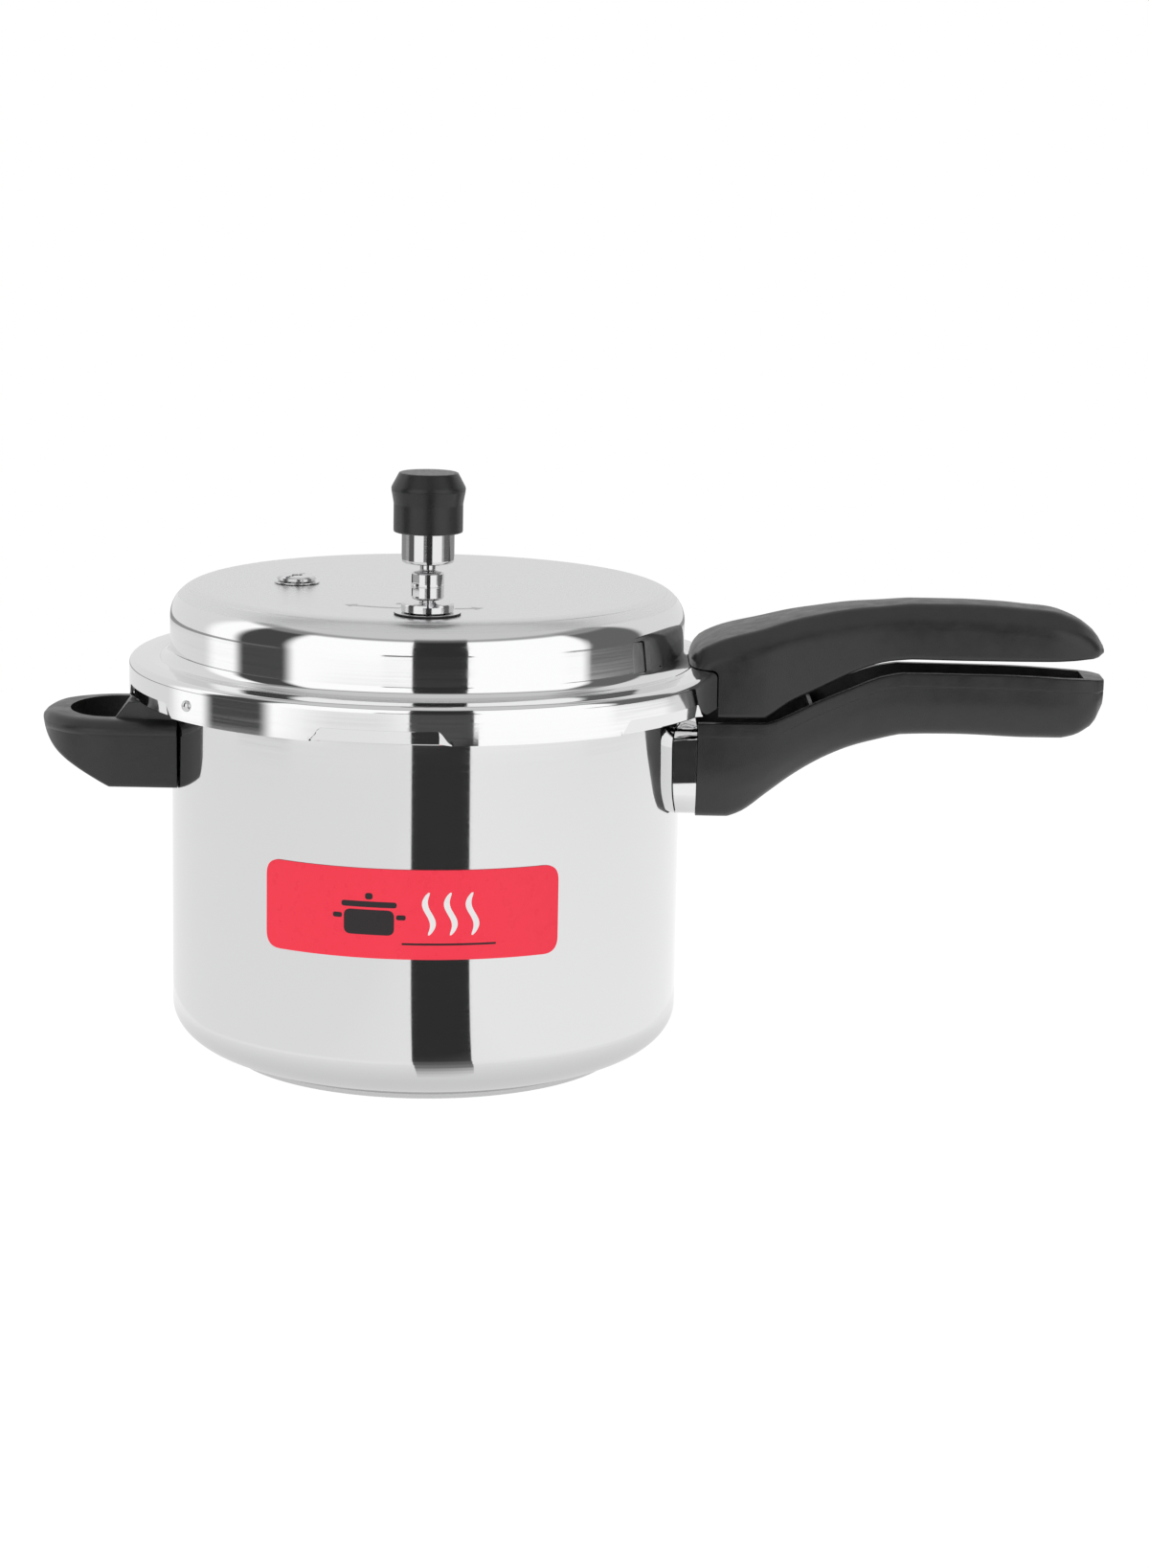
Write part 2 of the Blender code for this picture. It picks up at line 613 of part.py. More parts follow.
def hex_nut(name, at, radius, high, low, surface):
    """A hexagon nut with a round bore, on an upright axis."""
    x, y, _ = at
    nut = cylinder(name, (x, y, low), (x, y, high), radius, surface, steps=6)
    boolean(nut, cylinder(f"{name}_bore", (x, y, low - 0.002), (x, y, high + 0.002), 0.0051))


def make_weight():
    at = (VENT_X, VENT_Y, 0)
    low, high, radius, bore, top_bore = 0.2160, 0.2362, 0.01025, 0.0039, 0.2262
    bevel, groove_r, groove_low, groove_high = 0.0008, 0.0051, 0.2175, 0.2195
    profile = [(0, high), (radius, high), (radius, low + bevel), (radius - bevel, low), (bore, low)]
    profile += [(bore, groove_low), (groove_r, groove_low), (groove_r, groove_high), (bore, groove_high)]
    profile += [(bore, top_bore), (0, top_bore)]
    turned("weight_body", profile, steel("weight_steel"), at=at)
    knob_top, knob_foot, knob_r = 0.2512, 0.2280, 0.0135
    knob = [(0, knob_top), (0.0112, knob_top), (0.0118, knob_top - 0.0004), (0.01445, 0.2453)]
    knob += [(knob_r, 0.2394), (knob_r, knob_foot + 0.0004), (knob_r - 0.0004, knob_foot)]
    knob += [(radius + GAP, knob_foot), (radius + GAP, high + GAP), (0, high + GAP)]
    turned("weight_knob", knob, bakelite("knob_black"), steps=24, at=at)
    pin_top, pin_r = top_bore - GAP, 0.0035
    pin = [(0, pin_top), (pin_r, pin_top), (pin_r, 0.2232), (0.0020, 0.2228), (0.0010, 0.2223)]
    pin += [(0.0009, 0.2195), (0, 0.2190)]
    turned("weight_pin", pin, steel("pin_steel"), steps=12, at=at)
    clip = washer(pin_r, groove_r - 0.0004, groove_high - GAP, groove_low + GAP)
    turned("weight_clip", clip, steel("clip_steel"), steps=16, at=at)


def make_safety_valve():
    """Fusible safety valve: a slotted body through the lid, its soft plug, a washer and an inner nut."""
    at = (VALVE_X, VALVE_Y, 0)
    seat = LID_TOP_Z + GAP + 0.0005 + GAP
    top, radius, bore, shank_r, shank_end, bevel = seat + 0.0021, 0.0082, 0.0022, 0.0048, 0.1870, 0.0006
    profile = [(bore, top), (radius - bevel, top), (radius, top - bevel), (radius, seat), (shank_r, seat)]
    profile += [(shank_r, shank_end), (bore, shank_end)]
    turned("safety_valve_body", profile, steel("valve_steel"), at=at)
    plug_r, plug_top, plug_end = bore - 0.0004, top - 0.0004, shank_end + 0.0010
    plug = [(0, plug_top), (plug_r, plug_top), (plug_r, plug_end), (0, plug_end)]
    turned("fusible_plug", plug, material("fusible_alloy", FUSIBLE, 0.45, 1.0), steps=12, at=at)
    ring = LID_TOP_Z + GAP
    flat_ring = washer(VENT_HOLE_R, 0.0093, ring + 0.0005, ring)
    turned("safety_valve_washer", flat_ring, steel("valve_washer_steel"), at=at)
    under = LID_TOP_Z - LID_SHEET - GAP
    hex_nut("safety_valve_nut", at, 0.0092, under, under - 0.0042, steel("valve_nut_steel"))


def main():
    clear_scene()
    collection("pressure_cooker")
    collection("cutters", helper=True)
    pot_cut = pot_keep_out()
    lid_cut = lid_keep_out()
    make_pot_body()
    make_base_plate()
    make_label()
    make_pot_handle(pot_cut)
    make_helper_handle(pot_cut)
    make_gasket()
    rivet_direction, rivet_level = make_lid_shell()
    make_rivet(rivet_direction, rivet_level)
    make_lid_handle(lid_cut)
    make_vent()
    make_weight()
    make_safety_valve()


main()
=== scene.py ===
"""Looks of the stovetop pressure cooker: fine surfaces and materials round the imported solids."""

import json
import math

import bmesh
import bpy
import numpy as np
from mathutils import Matrix, Vector

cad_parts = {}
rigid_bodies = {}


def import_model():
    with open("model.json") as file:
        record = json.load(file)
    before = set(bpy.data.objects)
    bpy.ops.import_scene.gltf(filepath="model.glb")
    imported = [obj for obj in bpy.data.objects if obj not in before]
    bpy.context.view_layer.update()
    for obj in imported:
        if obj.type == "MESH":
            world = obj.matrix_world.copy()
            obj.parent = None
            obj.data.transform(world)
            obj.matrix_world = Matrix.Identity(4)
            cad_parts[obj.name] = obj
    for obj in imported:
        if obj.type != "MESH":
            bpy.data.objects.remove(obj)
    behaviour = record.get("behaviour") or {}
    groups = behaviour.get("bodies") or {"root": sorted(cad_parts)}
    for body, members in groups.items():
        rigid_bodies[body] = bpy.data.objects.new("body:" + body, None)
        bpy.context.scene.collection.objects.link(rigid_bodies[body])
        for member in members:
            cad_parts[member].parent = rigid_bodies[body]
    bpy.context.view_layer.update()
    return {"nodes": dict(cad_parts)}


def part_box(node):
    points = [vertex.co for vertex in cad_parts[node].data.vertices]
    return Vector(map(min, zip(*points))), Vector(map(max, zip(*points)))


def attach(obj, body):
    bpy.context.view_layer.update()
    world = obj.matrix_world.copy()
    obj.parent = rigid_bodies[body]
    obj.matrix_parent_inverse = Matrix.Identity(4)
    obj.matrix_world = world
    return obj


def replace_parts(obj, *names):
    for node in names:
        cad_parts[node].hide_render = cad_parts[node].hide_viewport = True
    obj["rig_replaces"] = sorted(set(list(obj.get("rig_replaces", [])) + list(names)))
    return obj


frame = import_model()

NODES = frame["nodes"]

# ---------------------------------------------------------------- sizes


def middle_of(node):
    """Middle of a node's box in the frame."""
    low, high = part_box(node)
    return (low + high) / 2


POT_R = 0.105
POT_WALL = 0.003
_, BASE_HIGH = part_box("base_plate")
BASE_R = BASE_HIGH.x
BASE_TOP = BASE_HIGH.z
POT_LOW, POT_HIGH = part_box("pot_body")
POT_FLOOR_Z = POT_LOW.z
RIM_TOP_Z = POT_HIGH.z
RIM_UNDER_Z = RIM_TOP_Z - 0.003
RIM_R = 0.1135
POT_LUG_R = 0.1178
CORNER_WIDTH = 0.026
CORNER_HEIGHT = 0.0185

LID_LOW, LID_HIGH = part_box("lid_shell")
LID_TOP_Z = LID_HIGH.z
SKIRT_R = LID_HIGH.x
SKIRT_BOTTOM_Z = LID_LOW.z
LID_R = 0.1057
LID_SHEET = 0.0023
SHOULDER = 0.0127
FLANGE_TOP_Z = 0.1666
SKIRT_TOP_Z = FLANGE_TOP_Z - 0.0030
FILLET = 0.0044
LUG_COUNT = 6
LUG_DEPTH = 0.0014
LUG_STEP = 0.0004
LUG_LEDGE = 0.0056
# Angles in degrees from +X: the lug nearest the front, half a lug, and the run of its soft ends.
FRONT_LUG_ANGLE = -96.3
LUG_HALF = 11.9
LUG_BLEND = 2.6

VENT_AT = tuple(middle_of("vent_pipe").xy)
VENT_TOP_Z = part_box("vent_pipe")[1].z
VALVE_AT = tuple(middle_of("safety_valve_body").xy)
VALVE_TOP_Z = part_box("safety_valve_body")[1].z
HOLE_R = 0.0052
GAP = 0.0003
FINE = 256
SHARP_ANGLE = math.radians(30)
WELD = 1e-7


# ---------------------------------------------------------------- mesh helpers


def new_object(name, mesh, surface, body, slot, *stands_for):
    """Puts a finished mesh in the scene on its body, in place of its CAD nodes."""
    obj = bpy.data.objects.new(name, mesh)
    bpy.context.scene.collection.objects.link(obj)
    mesh.materials.append(surface)
    mesh.shade_smooth()
    mesh.set_sharp_from_angle(angle=SHARP_ANGLE)
    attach(obj, body)
    if stands_for:
        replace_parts(obj, *stands_for)
    return obj


def mesh_from(name, bm):
    mesh = bpy.data.meshes.new(name)
    bm.to_mesh(mesh)
    bm.free()
    return mesh


def mesh_of(name, verts, faces):
    """A mesh of these vertices and faces, welded and facing outwards."""
    mesh = bpy.data.meshes.new(name)
    mesh.from_pydata(verts, [], faces)
    bm = bmesh.new()
    bm.from_mesh(mesh)
    bmesh.ops.remove_doubles(bm, verts=bm.verts, dist=WELD)
    bmesh.ops.recalc_face_normals(bm, faces=bm.faces)
    bm.to_mesh(mesh)
    bm.free()
    return mesh


def thickened(bm):
    """Extrudes a flat sheet of faces, and returns the vertices of its new side."""
    made = bmesh.ops.extrude_face_region(bm, geom=bm.faces[:])
    return [element for element in made["geom"] if isinstance(element, bmesh.types.BMVert)]


def held(profile):
    """Adds a point just inside each end of a long straight run, so that smooth shading leaves it flat."""
    reach = 0.0003
    made = [profile[0]]
    for (r0, z0), (r1, z1) in zip(profile, profile[1:]):
        length = math.hypot(r1 - r0, z1 - z0)
        if length > 4 * reach:
            share = reach / length
            made.append((r0 + (r1 - r0) * share, z0 + (z1 - z0) * share))
            made.append((r1 - (r1 - r0) * share, z1 - (z1 - z0) * share))
        made.append((r1, z1))
    return made


def turned_mesh(name, profile, steps=FINE, at=(0, 0), shape=None, angles=None):
    """Revolves (radius, height) points about an upright axis. shape(angle, r, z) may move each point."""
    profile = held(profile)
    if angles is None:
        angles = np.arange(steps) * math.tau / steps
    steps = len(angles)
    count = len(profile)
    verts = []
    for angle in angles:
        c, s = math.cos(angle), math.sin(angle)
        for r, z in profile:
            if shape:
                r, z = shape(angle, r, z)
            verts.append((at[0] + r * c, at[1] + r * s, z))
    # A profile that starts and ends on the axis needs no faces between its two ends.
    ring = profile[0][0] > 0
    rows = count if ring else count - 1
    faces = []
    for i in range(steps):
        a, b = i * count, ((i + 1) % steps) * count
        for j in range(rows):
            k = (j + 1) % count
            faces.append((a + j, a + k, b + k, b + j))
    return mesh_of(name, verts, faces)


def turned_piece(name, profile, steps, at, surface, body, slot, node):
    return new_object(name, turned_mesh(name, profile, steps, at=at), surface, body, slot, node)


def arc(centre, size, start, end, steps):
    """Points of an elliptical arc between two angles in degrees."""
    points = []
    for i in range(steps + 1):
        angle = math.radians(start + (end - start) * i / steps)
        points.append((centre[0] + size[0] * math.cos(angle), centre[1] + size[1] * math.sin(angle)))
    return points


def polar(radius, degrees):
    angle = math.radians(degrees)
    return (radius * math.cos(angle), radius * math.sin(angle))


def rounded(points, radius, steps, closed=False):
    """Swaps each corner of an outline for a short curve. radius may be a number or one number a corner."""
    if closed:
        points = [points[-1]] + list(points) + [points[0]]
    radii = radius if isinstance(radius, (list, tuple)) else [radius] * (len(points) - 2)
    made = [] if closed else [points[0]]
    for before, corner, after, r in zip(points, points[1:], points[2:], radii):
        corner_v = Vector(corner)
        back, ahead = Vector(before) - corner_v, Vector(after) - corner_v
        if r <= 0:
            made.append(tuple(corner))
            continue
        start = corner_v + back.normalized() * min(r, back.length * 0.48)
        end = corner_v + ahead.normalized() * min(r, ahead.length * 0.48)
        for i in range(steps + 1):
            t = i / steps
            made.append(tuple(start * (1 - t) ** 2 + corner_v * 2 * t * (1 - t) + end * t * t))
    if not closed:
        made.append(points[-1])
    return made


def smooth_table(table, count):
    """Rows read from a smooth curve through a table's rows: evenly spaced ones, and the table's own."""
    rows = np.array(table, float)
    x = rows[:, 0]
    slopes = np.gradient(rows[:, 1:], x, axis=0)
    made = []
    span = np.concatenate([np.linspace(x[0], x[-1], count), x])
    for value in np.unique(np.round(span, 6)):
        i = int(np.clip(np.searchsorted(x, value) - 1, 0, len(x) - 2))
        width = x[i + 1] - x[i]
        t = (value - x[i]) / width
        a, b = rows[i, 1:], rows[i + 1, 1:]
        chord = (b - a) / width
        # Slopes are held within three times the chord, so the curve never overshoots a row.
        m0 = np.clip(slopes[i], np.minimum(0, 3 * chord), np.maximum(0, 3 * chord))
        m1 = np.clip(slopes[i + 1], np.minimum(0, 3 * chord), np.maximum(0, 3 * chord))
        t2, t3 = t * t, t * t * t
        y = (2 * t3 - 3 * t2 + 1) * a + (t3 - 2 * t2 + t) * width * m0
        y += (-2 * t3 + 3 * t2) * b + (t3 - t2) * width * m1
        made.append((float(value), *map(float, y)))
    return made


def between(table, x):
    """A table's row at x, on the straight line between its neighbours."""
    for a, b in zip(table, table[1:]):
        if x <= b[0]:
            t = max(0.0, (x - a[0]) / (b[0] - a[0]))
            return [p + (q - p) * t for p, q in zip(a[1:], b[1:])]
    return list(table[-1][1:])


def loft_mesh(name, sections):
    """Skins (x, half outline) sections; a half runs from the bottom centre to the top centre at +Y."""
    verts, faces = [], []
    size = 0
    for x, half in sections:
        ring = list(half) + [(-y, z) for y, z in reversed(half[1:-1])]
        size = len(ring)
        verts += [(x, y, z) for y, z in ring]
    for i in range(len(sections) - 1):
        for j in range(size):
            k = (j + 1) % size
            faces.append((i * size + j, i * size + k, (i + 1) * size + k, (i + 1) * size + j))
    faces.append(tuple(range(size)))
    last = (len(sections) - 1) * size
    faces.append(tuple(reversed(range(last, last + size))))
    return mesh_of(name, verts, faces)


def box_mesh(low, high):
    bm = bmesh.new()
    low, high = Vector(low), Vector(high)
    place = Matrix.Translation((low + high) / 2) @ Matrix.Diagonal((*(high - low), 1))
    bmesh.ops.create_cube(bm, size=1, matrix=place)
    return mesh_from("box", bm)


def rod_mesh(at, low, high, radius, steps):
    """Upright rod through a level point."""
    bm = bmesh.new()
    place = Matrix.Translation((*at, (low + high) / 2))
    bmesh.ops.create_cone(
        bm, cap_ends=True, segments=steps, radius1=radius, radius2=radius, depth=high - low, matrix=place
    )
    return mesh_from("rod", bm)


def screw_hole(node, low, high, radius, steps=32):
    """The cut for a screw's hole, on the axis of the screw's node."""
    return ("DIFFERENCE", rod_mesh((middle_of(node).x, 0), low, high, radius, steps))


def carved(mesh, cuts):
    """The mesh after each (operation, other mesh) is applied to it with an exact Boolean."""
    scene = bpy.context.scene.collection
    obj = bpy.data.objects.new("carving", mesh)
    scene.objects.link(obj)
    helpers = []
    for operation, other in cuts:
        tool = bpy.data.objects.new("carving_tool", other)
        scene.objects.link(tool)
        helpers.append(tool)
        modifier = obj.modifiers.new("Carve", "BOOLEAN")
        modifier.operation = operation
        modifier.solver = "EXACT"
        modifier.object = tool
    graph = bpy.context.evaluated_depsgraph_get()
    made = bpy.data.meshes.new_from_object(obj.evaluated_get(graph))
    for helper in helpers:
        bpy.data.objects.remove(helper, do_unlink=True)
    bpy.data.objects.remove(obj, do_unlink=True)
    made.materials.clear()
    return made


def outside_neck(mesh, radius, at):
    """The part of a mesh that is further than a radius from an upright axis."""
    sleeve = [(radius, 0.25), (0.03, 0.25), (0.03, 0.15), (radius, 0.15)]
    return carved(mesh, [("INTERSECT", turned_mesh("sleeve", sleeve, 48, at=at))])


def softened(obj, width, segments, angle):
    """Small rounded edges where the faces meet at more than an angle in degrees."""
    modifier = obj.modifiers.new("Edges", "BEVEL")
    modifier.width = width
    modifier.segments = segments
    modifier.limit_method = "ANGLE"
    modifier.angle_limit = math.radians(angle)
    modifier.harden_normals = False


# ---------------------------------------------------------------- materials

# Most of a noise's values lie between these.
NOISE_LOW, NOISE_HIGH = 0.3, 0.7


class Surface:
    """A Principled material with short calls for the node graphs used here."""

    def __init__(self, name, colour, roughness, metallic=0.0):
        self.material = bpy.data.materials.new(name)
        self.material.use_nodes = True
        self.tree = self.material.node_tree
        self.shader = self.tree.nodes["Principled BSDF"]
        self.shader.inputs["Base Color"].default_value = (*colour, 1)
        self.shader.inputs["Roughness"].default_value = roughness
        self.shader.inputs["Metallic"].default_value = metallic

    def node(self, kind, **settings):
        made = self.tree.nodes.new(kind)
        for name, value in settings.items():
            setattr(made, name, value)
        return made

    def link(self, source, output, target, socket):
        self.tree.links.new(source.outputs[output], target.inputs[socket])

    def place(self, scale=(1, 1, 1)):
        coords = self.node("ShaderNodeTexCoord")
        mapping = self.node("ShaderNodeMapping")
        mapping.inputs["Scale"].default_value = scale
        self.link(coords, "Object", mapping, "Vector")
        return mapping

    def noise(self, size, detail=3.0, stretch=(1, 1, 1)):
        """Noise whose features are about size metres across, and longer along each stretched axis."""
        made = self.node("ShaderNodeTexNoise")
        made.inputs["Scale"].default_value = 1.0
        made.inputs["Detail"].default_value = detail
        mapping = self.place(tuple(1 / (size * s) for s in stretch))
        self.link(mapping, "Vector", made, "Vector")
        return made

    def roughen(self, noise, low, high):
        made = self.node("ShaderNodeMapRange")
        made.inputs["From Min"].default_value = NOISE_LOW
        made.inputs["From Max"].default_value = NOISE_HIGH
        made.inputs["To Min"].default_value = low
        made.inputs["To Max"].default_value = high
        self.link(noise, "Fac", made, "Value")
        self.link(made, "Result", self.shader, "Roughness")

    def tint(self, noise, dark, light):
        ramp = self.node("ShaderNodeValToRGB")
        stops = ((NOISE_LOW, dark), (NOISE_HIGH, light))
        for element, (place, colour) in zip(ramp.color_ramp.elements, stops):
            element.position = place
            element.color = (*colour, 1)
        self.link(noise, "Fac", ramp, "Fac")
        self.link(ramp, "Color", self.shader, "Base Color")

    def bump(self, noise, height):
        made = self.node("ShaderNodeBump")
        made.inputs["Strength"].default_value = 1.0
        made.inputs["Distance"].default_value = height
        self.link(noise, "Fac", made, "Height")
        self.link(made, "Normal", self.shader, "Normal")


def mirror_aluminium(name="mirror_aluminium", colour=0.80):
    """Buffed aluminium: nearly a mirror, with faint lines that run round the piece."""
    made = Surface(name, (colour, colour, colour * 1.005), 0.05, 1.0)
    rings = made.noise(0.0011, 2.0, stretch=(90, 90, 1))
    made.roughen(rings, 0.035, 0.075)
    made.bump(rings, 0.0000008)
    return made.material


def satin_top():
    """The lid's flat top: a finer satin with rings from the lathe."""
    made = Surface("satin_aluminium", (0.79, 0.79, 0.795), 0.24, 1.0)
    coords = made.place()
    length = made.node("ShaderNodeVectorMath", operation="LENGTH")
    flat = made.node("ShaderNodeVectorMath", operation="MULTIPLY")
    flat.inputs[1].default_value = (1, 1, 0)
    made.link(coords, "Vector", flat, 0)
    made.link(flat, "Vector", length, 0)
    rings = made.node("ShaderNodeTexNoise", noise_dimensions="1D")
    rings.inputs["Scale"].default_value = 2200
    rings.inputs["Detail"].default_value = 3
    made.link(length, "Value", rings, "W")
    made.roughen(rings, 0.24, 0.34)
    made.bump(rings, 0.0000012)
    return made.material


def base_metal():
    """Machined aluminium with visible tool rings."""
    made = Surface("base_metal", (0.72, 0.72, 0.725), 0.3, 1.0)
    rings = made.noise(0.0006, 2.0, stretch=(60, 60, 1))
    made.roughen(rings, 0.22, 0.36)
    made.bump(rings, 0.000002)
    return made.material


def turned_steel(name, colour=0.66, roughness=(0.05, 0.1)):
    """Bright turned steel with fine tool rings about its upright axis."""
    made = Surface(name, (colour, colour, colour * 1.01), 0.14, 1.0)
    rings = made.noise(0.00025, 2.0, stretch=(80, 80, 1))
    made.roughen(rings, *roughness)
    made.bump(rings, 0.000001)
    return made.material


def bracket_steel():
    """Plain bent steel for the pieces that are mostly out of sight."""
    made = Surface("bracket_steel", (0.55, 0.55, 0.56), 0.32, 1.0)
    grain = made.noise(0.0006, 3.0, stretch=(12, 1, 1))
    made.roughen(grain, 0.26, 0.4)
    made.bump(grain, 0.000002)
    return made.material


def bakelite():
    """Moulded black phenolic with soft cloudy shading and a fine leathery grain."""
    shade = 0.012
    made = Surface("bakelite", (shade, shade, shade), 0.5)
    made.shader.inputs["Specular IOR Level"].default_value = 0.55
    cloud = made.noise(0.006, 4.0)
    made.tint(cloud, (shade * 0.82,) * 3, (shade * 1.25,) * 3)
    made.roughen(cloud, 0.3, 0.42)
    grain = made.noise(0.00055, 4.0)
    made.bump(grain, 0.00007)
    return made.material


def knob_plastic():
    made = Surface("knob_plastic", (0.010, 0.010, 0.0105), 0.34)
    grain = made.noise(0.0004, 3.0, stretch=(4, 4, 1))
    made.roughen(grain, 0.28, 0.4)
    made.bump(grain, 0.000006)
    return made.material


def rubber():
    made = Surface("rubber", (0.025, 0.025, 0.026), 0.65)
    grain = made.noise(0.0005)
    made.roughen(grain, 0.55, 0.75)
    made.bump(grain, 0.000008)
    return made.material


def label_film(name, colour):
    """Printed film with a faint unevenness."""
    made = Surface(name, colour, 0.3)
    made.shader.inputs["Specular IOR Level"].default_value = 0.12
    paper = made.noise(0.004, 2.0)
    made.tint(paper, tuple(c * 0.985 for c in colour), tuple(min(1, c * 1.01) for c in colour))
    made.roughen(paper, 0.26, 0.34)
    return made.material


def etched():
    """Laser-etched mark: duller than the satin lid round it."""
    made = Surface("etched_mark", (0.60, 0.60, 0.605), 0.5, 1.0)
    grain = made.noise(0.0003)
    made.roughen(grain, 0.42, 0.58)
    return made.material


# ---------------------------------------------------------------- pot


def lug_share(angle, half_width, blend):
    """1 inside each of the six lug zones and 0 between them, with soft ends. Widths in degrees."""
    pitch = 360 / LUG_COUNT
    away = abs((math.degrees(angle) - FRONT_LUG_ANGLE + pitch / 2) % pitch - pitch / 2)
    t = min(1.0, max(0.0, (half_width - away) / blend + 0.5))
    return t * t * (3 - 2 * t)


def pot_shape(angle, r, z):
    """Pushes the rim flange out where the pot's lugs are."""
    half, blend, edge, below = 11.4, 1.2, 0.0015, 0.0005
    if r > RIM_R - edge and z > RIM_UNDER_Z - below:
        return r + (POT_LUG_R - RIM_R) * lug_share(angle, half, blend), z
    return r, z


def pot_profile():
    """The pot's section: floor and inside, over the rim flange, and down the outside to the base."""
    inner, floor = POT_R - POT_WALL, POT_FLOOR_Z + POT_WALL
    width, height = CORNER_WIDTH - POT_WALL, CORNER_HEIGHT - POT_WALL
    top, under = RIM_TOP_Z, RIM_UNDER_Z
    profile = [(0, floor), (0.04, floor)]
    profile += arc((inner - width, floor + height), (width, height), -90, 0, 16)
    profile += [(inner, 0.06), (inner, 0.11), (inner, top - 0.003), (inner + 0.001, top - 0.0006)]
    profile += [(inner + 0.0022, top), (RIM_R - 0.0012, top), (RIM_R - 0.0003, top - 0.0004)]
    profile += [(RIM_R, top - 0.0012), (RIM_R, under + 0.001), (RIM_R - 0.0004, under + 0.0002)]
    profile += [(RIM_R - 0.0014, under), (POT_R + 0.0012, under), (POT_R + 0.0003, under - 0.0006)]
    profile += [(POT_R, under - 0.002), (POT_R, 0.12), (POT_R, 0.07)]
    centre = (POT_R - CORNER_WIDTH, POT_FLOOR_Z + CORNER_HEIGHT)
    profile += arc(centre, (CORNER_WIDTH, CORNER_HEIGHT), 0, -90, 22)
    return profile + [(0.05, POT_FLOOR_Z), (0, POT_FLOOR_Z)]


def make_pot(metal):
    mesh = turned_mesh("pot_shell_fine", pot_profile(), shape=pot_shape)
    new_object("pot_shell_fine", mesh, metal, "pot", "polished_aluminium", "pot_body")


def make_base(metal):
    """Base disc with three shallow rings turned in its underside."""
    r, top = BASE_R, BASE_TOP
    depth, low_half, high_half = 0.0005, 0.0009, 0.0004
    profile = [(0, top), (r - 0.0016, top), (r - 0.0005, top - 0.0003), (r, top - 0.0010), (r, 0.0012)]
    profile += [(r - 0.0004, 0.0004), (r - 0.0013, 0)]
    for groove in (0.068, 0.046, 0.024):
        profile += [(groove + low_half, 0), (groove + high_half, depth)]
        profile += [(groove - high_half, depth), (groove - low_half, 0)]
    profile += [(0, 0)]
    turned_piece("base_disc_fine", profile, 192, (0, 0), metal, "pot", "base_metal", "base_plate")


# ---------------------------------------------------------------- label


LABEL_LOW, LABEL_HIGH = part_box("label_sticker")
LABEL_R = POT_R + GAP
LABEL_FILM = 0.00015
LABEL_INK = 0.00004
# Angles in degrees from +X: the label's middle, and half of its length.
LABEL_MIDDLE = -90.9
LABEL_HALF = 33.0


def wrap(x, z, radius):
    """A point of the flat label, x to the right of its middle, put on the pot's wall."""
    angle = math.radians(LABEL_MIDDLE) + x / POT_R
    return (radius * math.cos(angle), radius * math.sin(angle), z)


def wrapped_patch(name, outline, radius, thickness, surface, *stands_for):
    """A closed flat outline (x, z) cut into narrow strips, bent round the pot and given a thickness."""
    strip = 0.0015
    bm = bmesh.new()
    bm.faces.new([bm.verts.new((x, 0, z)) for x, z in outline])
    low = min(x for x, _ in outline)
    high = max(x for x, _ in outline)
    cuts = max(1, int((high - low) / strip))
    for i in range(1, cuts):
        where = low + (high - low) * i / cuts
        geometry = bm.verts[:] + bm.edges[:] + bm.faces[:]
        bmesh.ops.bisect_plane(bm, geom=geometry, plane_co=(where, 0, 0), plane_no=(1, 0, 0), dist=WELD)
    for vert in thickened(bm):
        vert.co.y = 1.0
    for vert in bm.verts:
        vert.co = wrap(vert.co.x, vert.co.z, radius + thickness * vert.co.y)
    bmesh.ops.recalc_face_normals(bm, faces=bm.faces)
    new_object(name, mesh_from(name, bm), surface, "pot", "label_film", *stands_for)


def rounded_rect(x0, x1, z0, z1, radius):
    return rounded([(x0, z0), (x1, z0), (x1, z1), (x0, z1)], radius, 8, closed=True)


def make_label():
    """Coral label with a plain pictogram: a pot, three wisps of steam and a rule under them."""
    half = math.radians(LABEL_HALF) * POT_R
    low, high = LABEL_LOW.z, LABEL_HIGH.z
    middle = (low + high) / 2
    coral = label_film("label_coral", (0.96, 0.050, 0.085))
    dark = label_film("label_dark", (0.035, 0.03, 0.032))
    white = label_film("label_white", (0.86, 0.84, 0.84))
    outline = rounded_rect(-half, half, low, high, 0.0065)
    wrapped_patch("label_film", outline, LABEL_R, LABEL_FILM, coral, "label_sticker")
    top = LABEL_R + LABEL_FILM
    # Left, right, bottom, top and corner radius, with heights from the label's middle.
    icons = (
        ("label_icon_pot", (-0.026, -0.006, -0.0085, 0.0015, 0.0028)),
        ("label_icon_lid", (-0.027, -0.005, 0.0025, 0.0048, 0.0011)),
        ("label_icon_knob", (-0.0175, -0.0145, 0.0056, 0.0082, 0.0012)),
        ("label_icon_grip_left", (-0.0305, -0.0268, -0.0022, -0.0002, 0.0009)),
        ("label_icon_grip_right", (-0.0052, -0.0015, -0.0022, -0.0002, 0.0009)),
        ("label_rule", (-0.003, 0.034, 0.0058 - (high - low) / 2, 0.0066 - (high - low) / 2, 0.0004)),
    )
    for name, (x0, x1, z0, z1, radius) in icons:
        wrapped_patch(name, rounded_rect(x0, x1, middle + z0, middle + z1, radius), top, LABEL_INK, dark)
    first_wisp, wisp_pitch = 0.0075, 0.0085
    for i in range(3):
        wisp = steam_wisp(first_wisp + i * wisp_pitch, middle - 0.008, middle + 0.009)
        wrapped_patch(f"label_icon_steam_{i}", wisp, top, LABEL_INK, white)


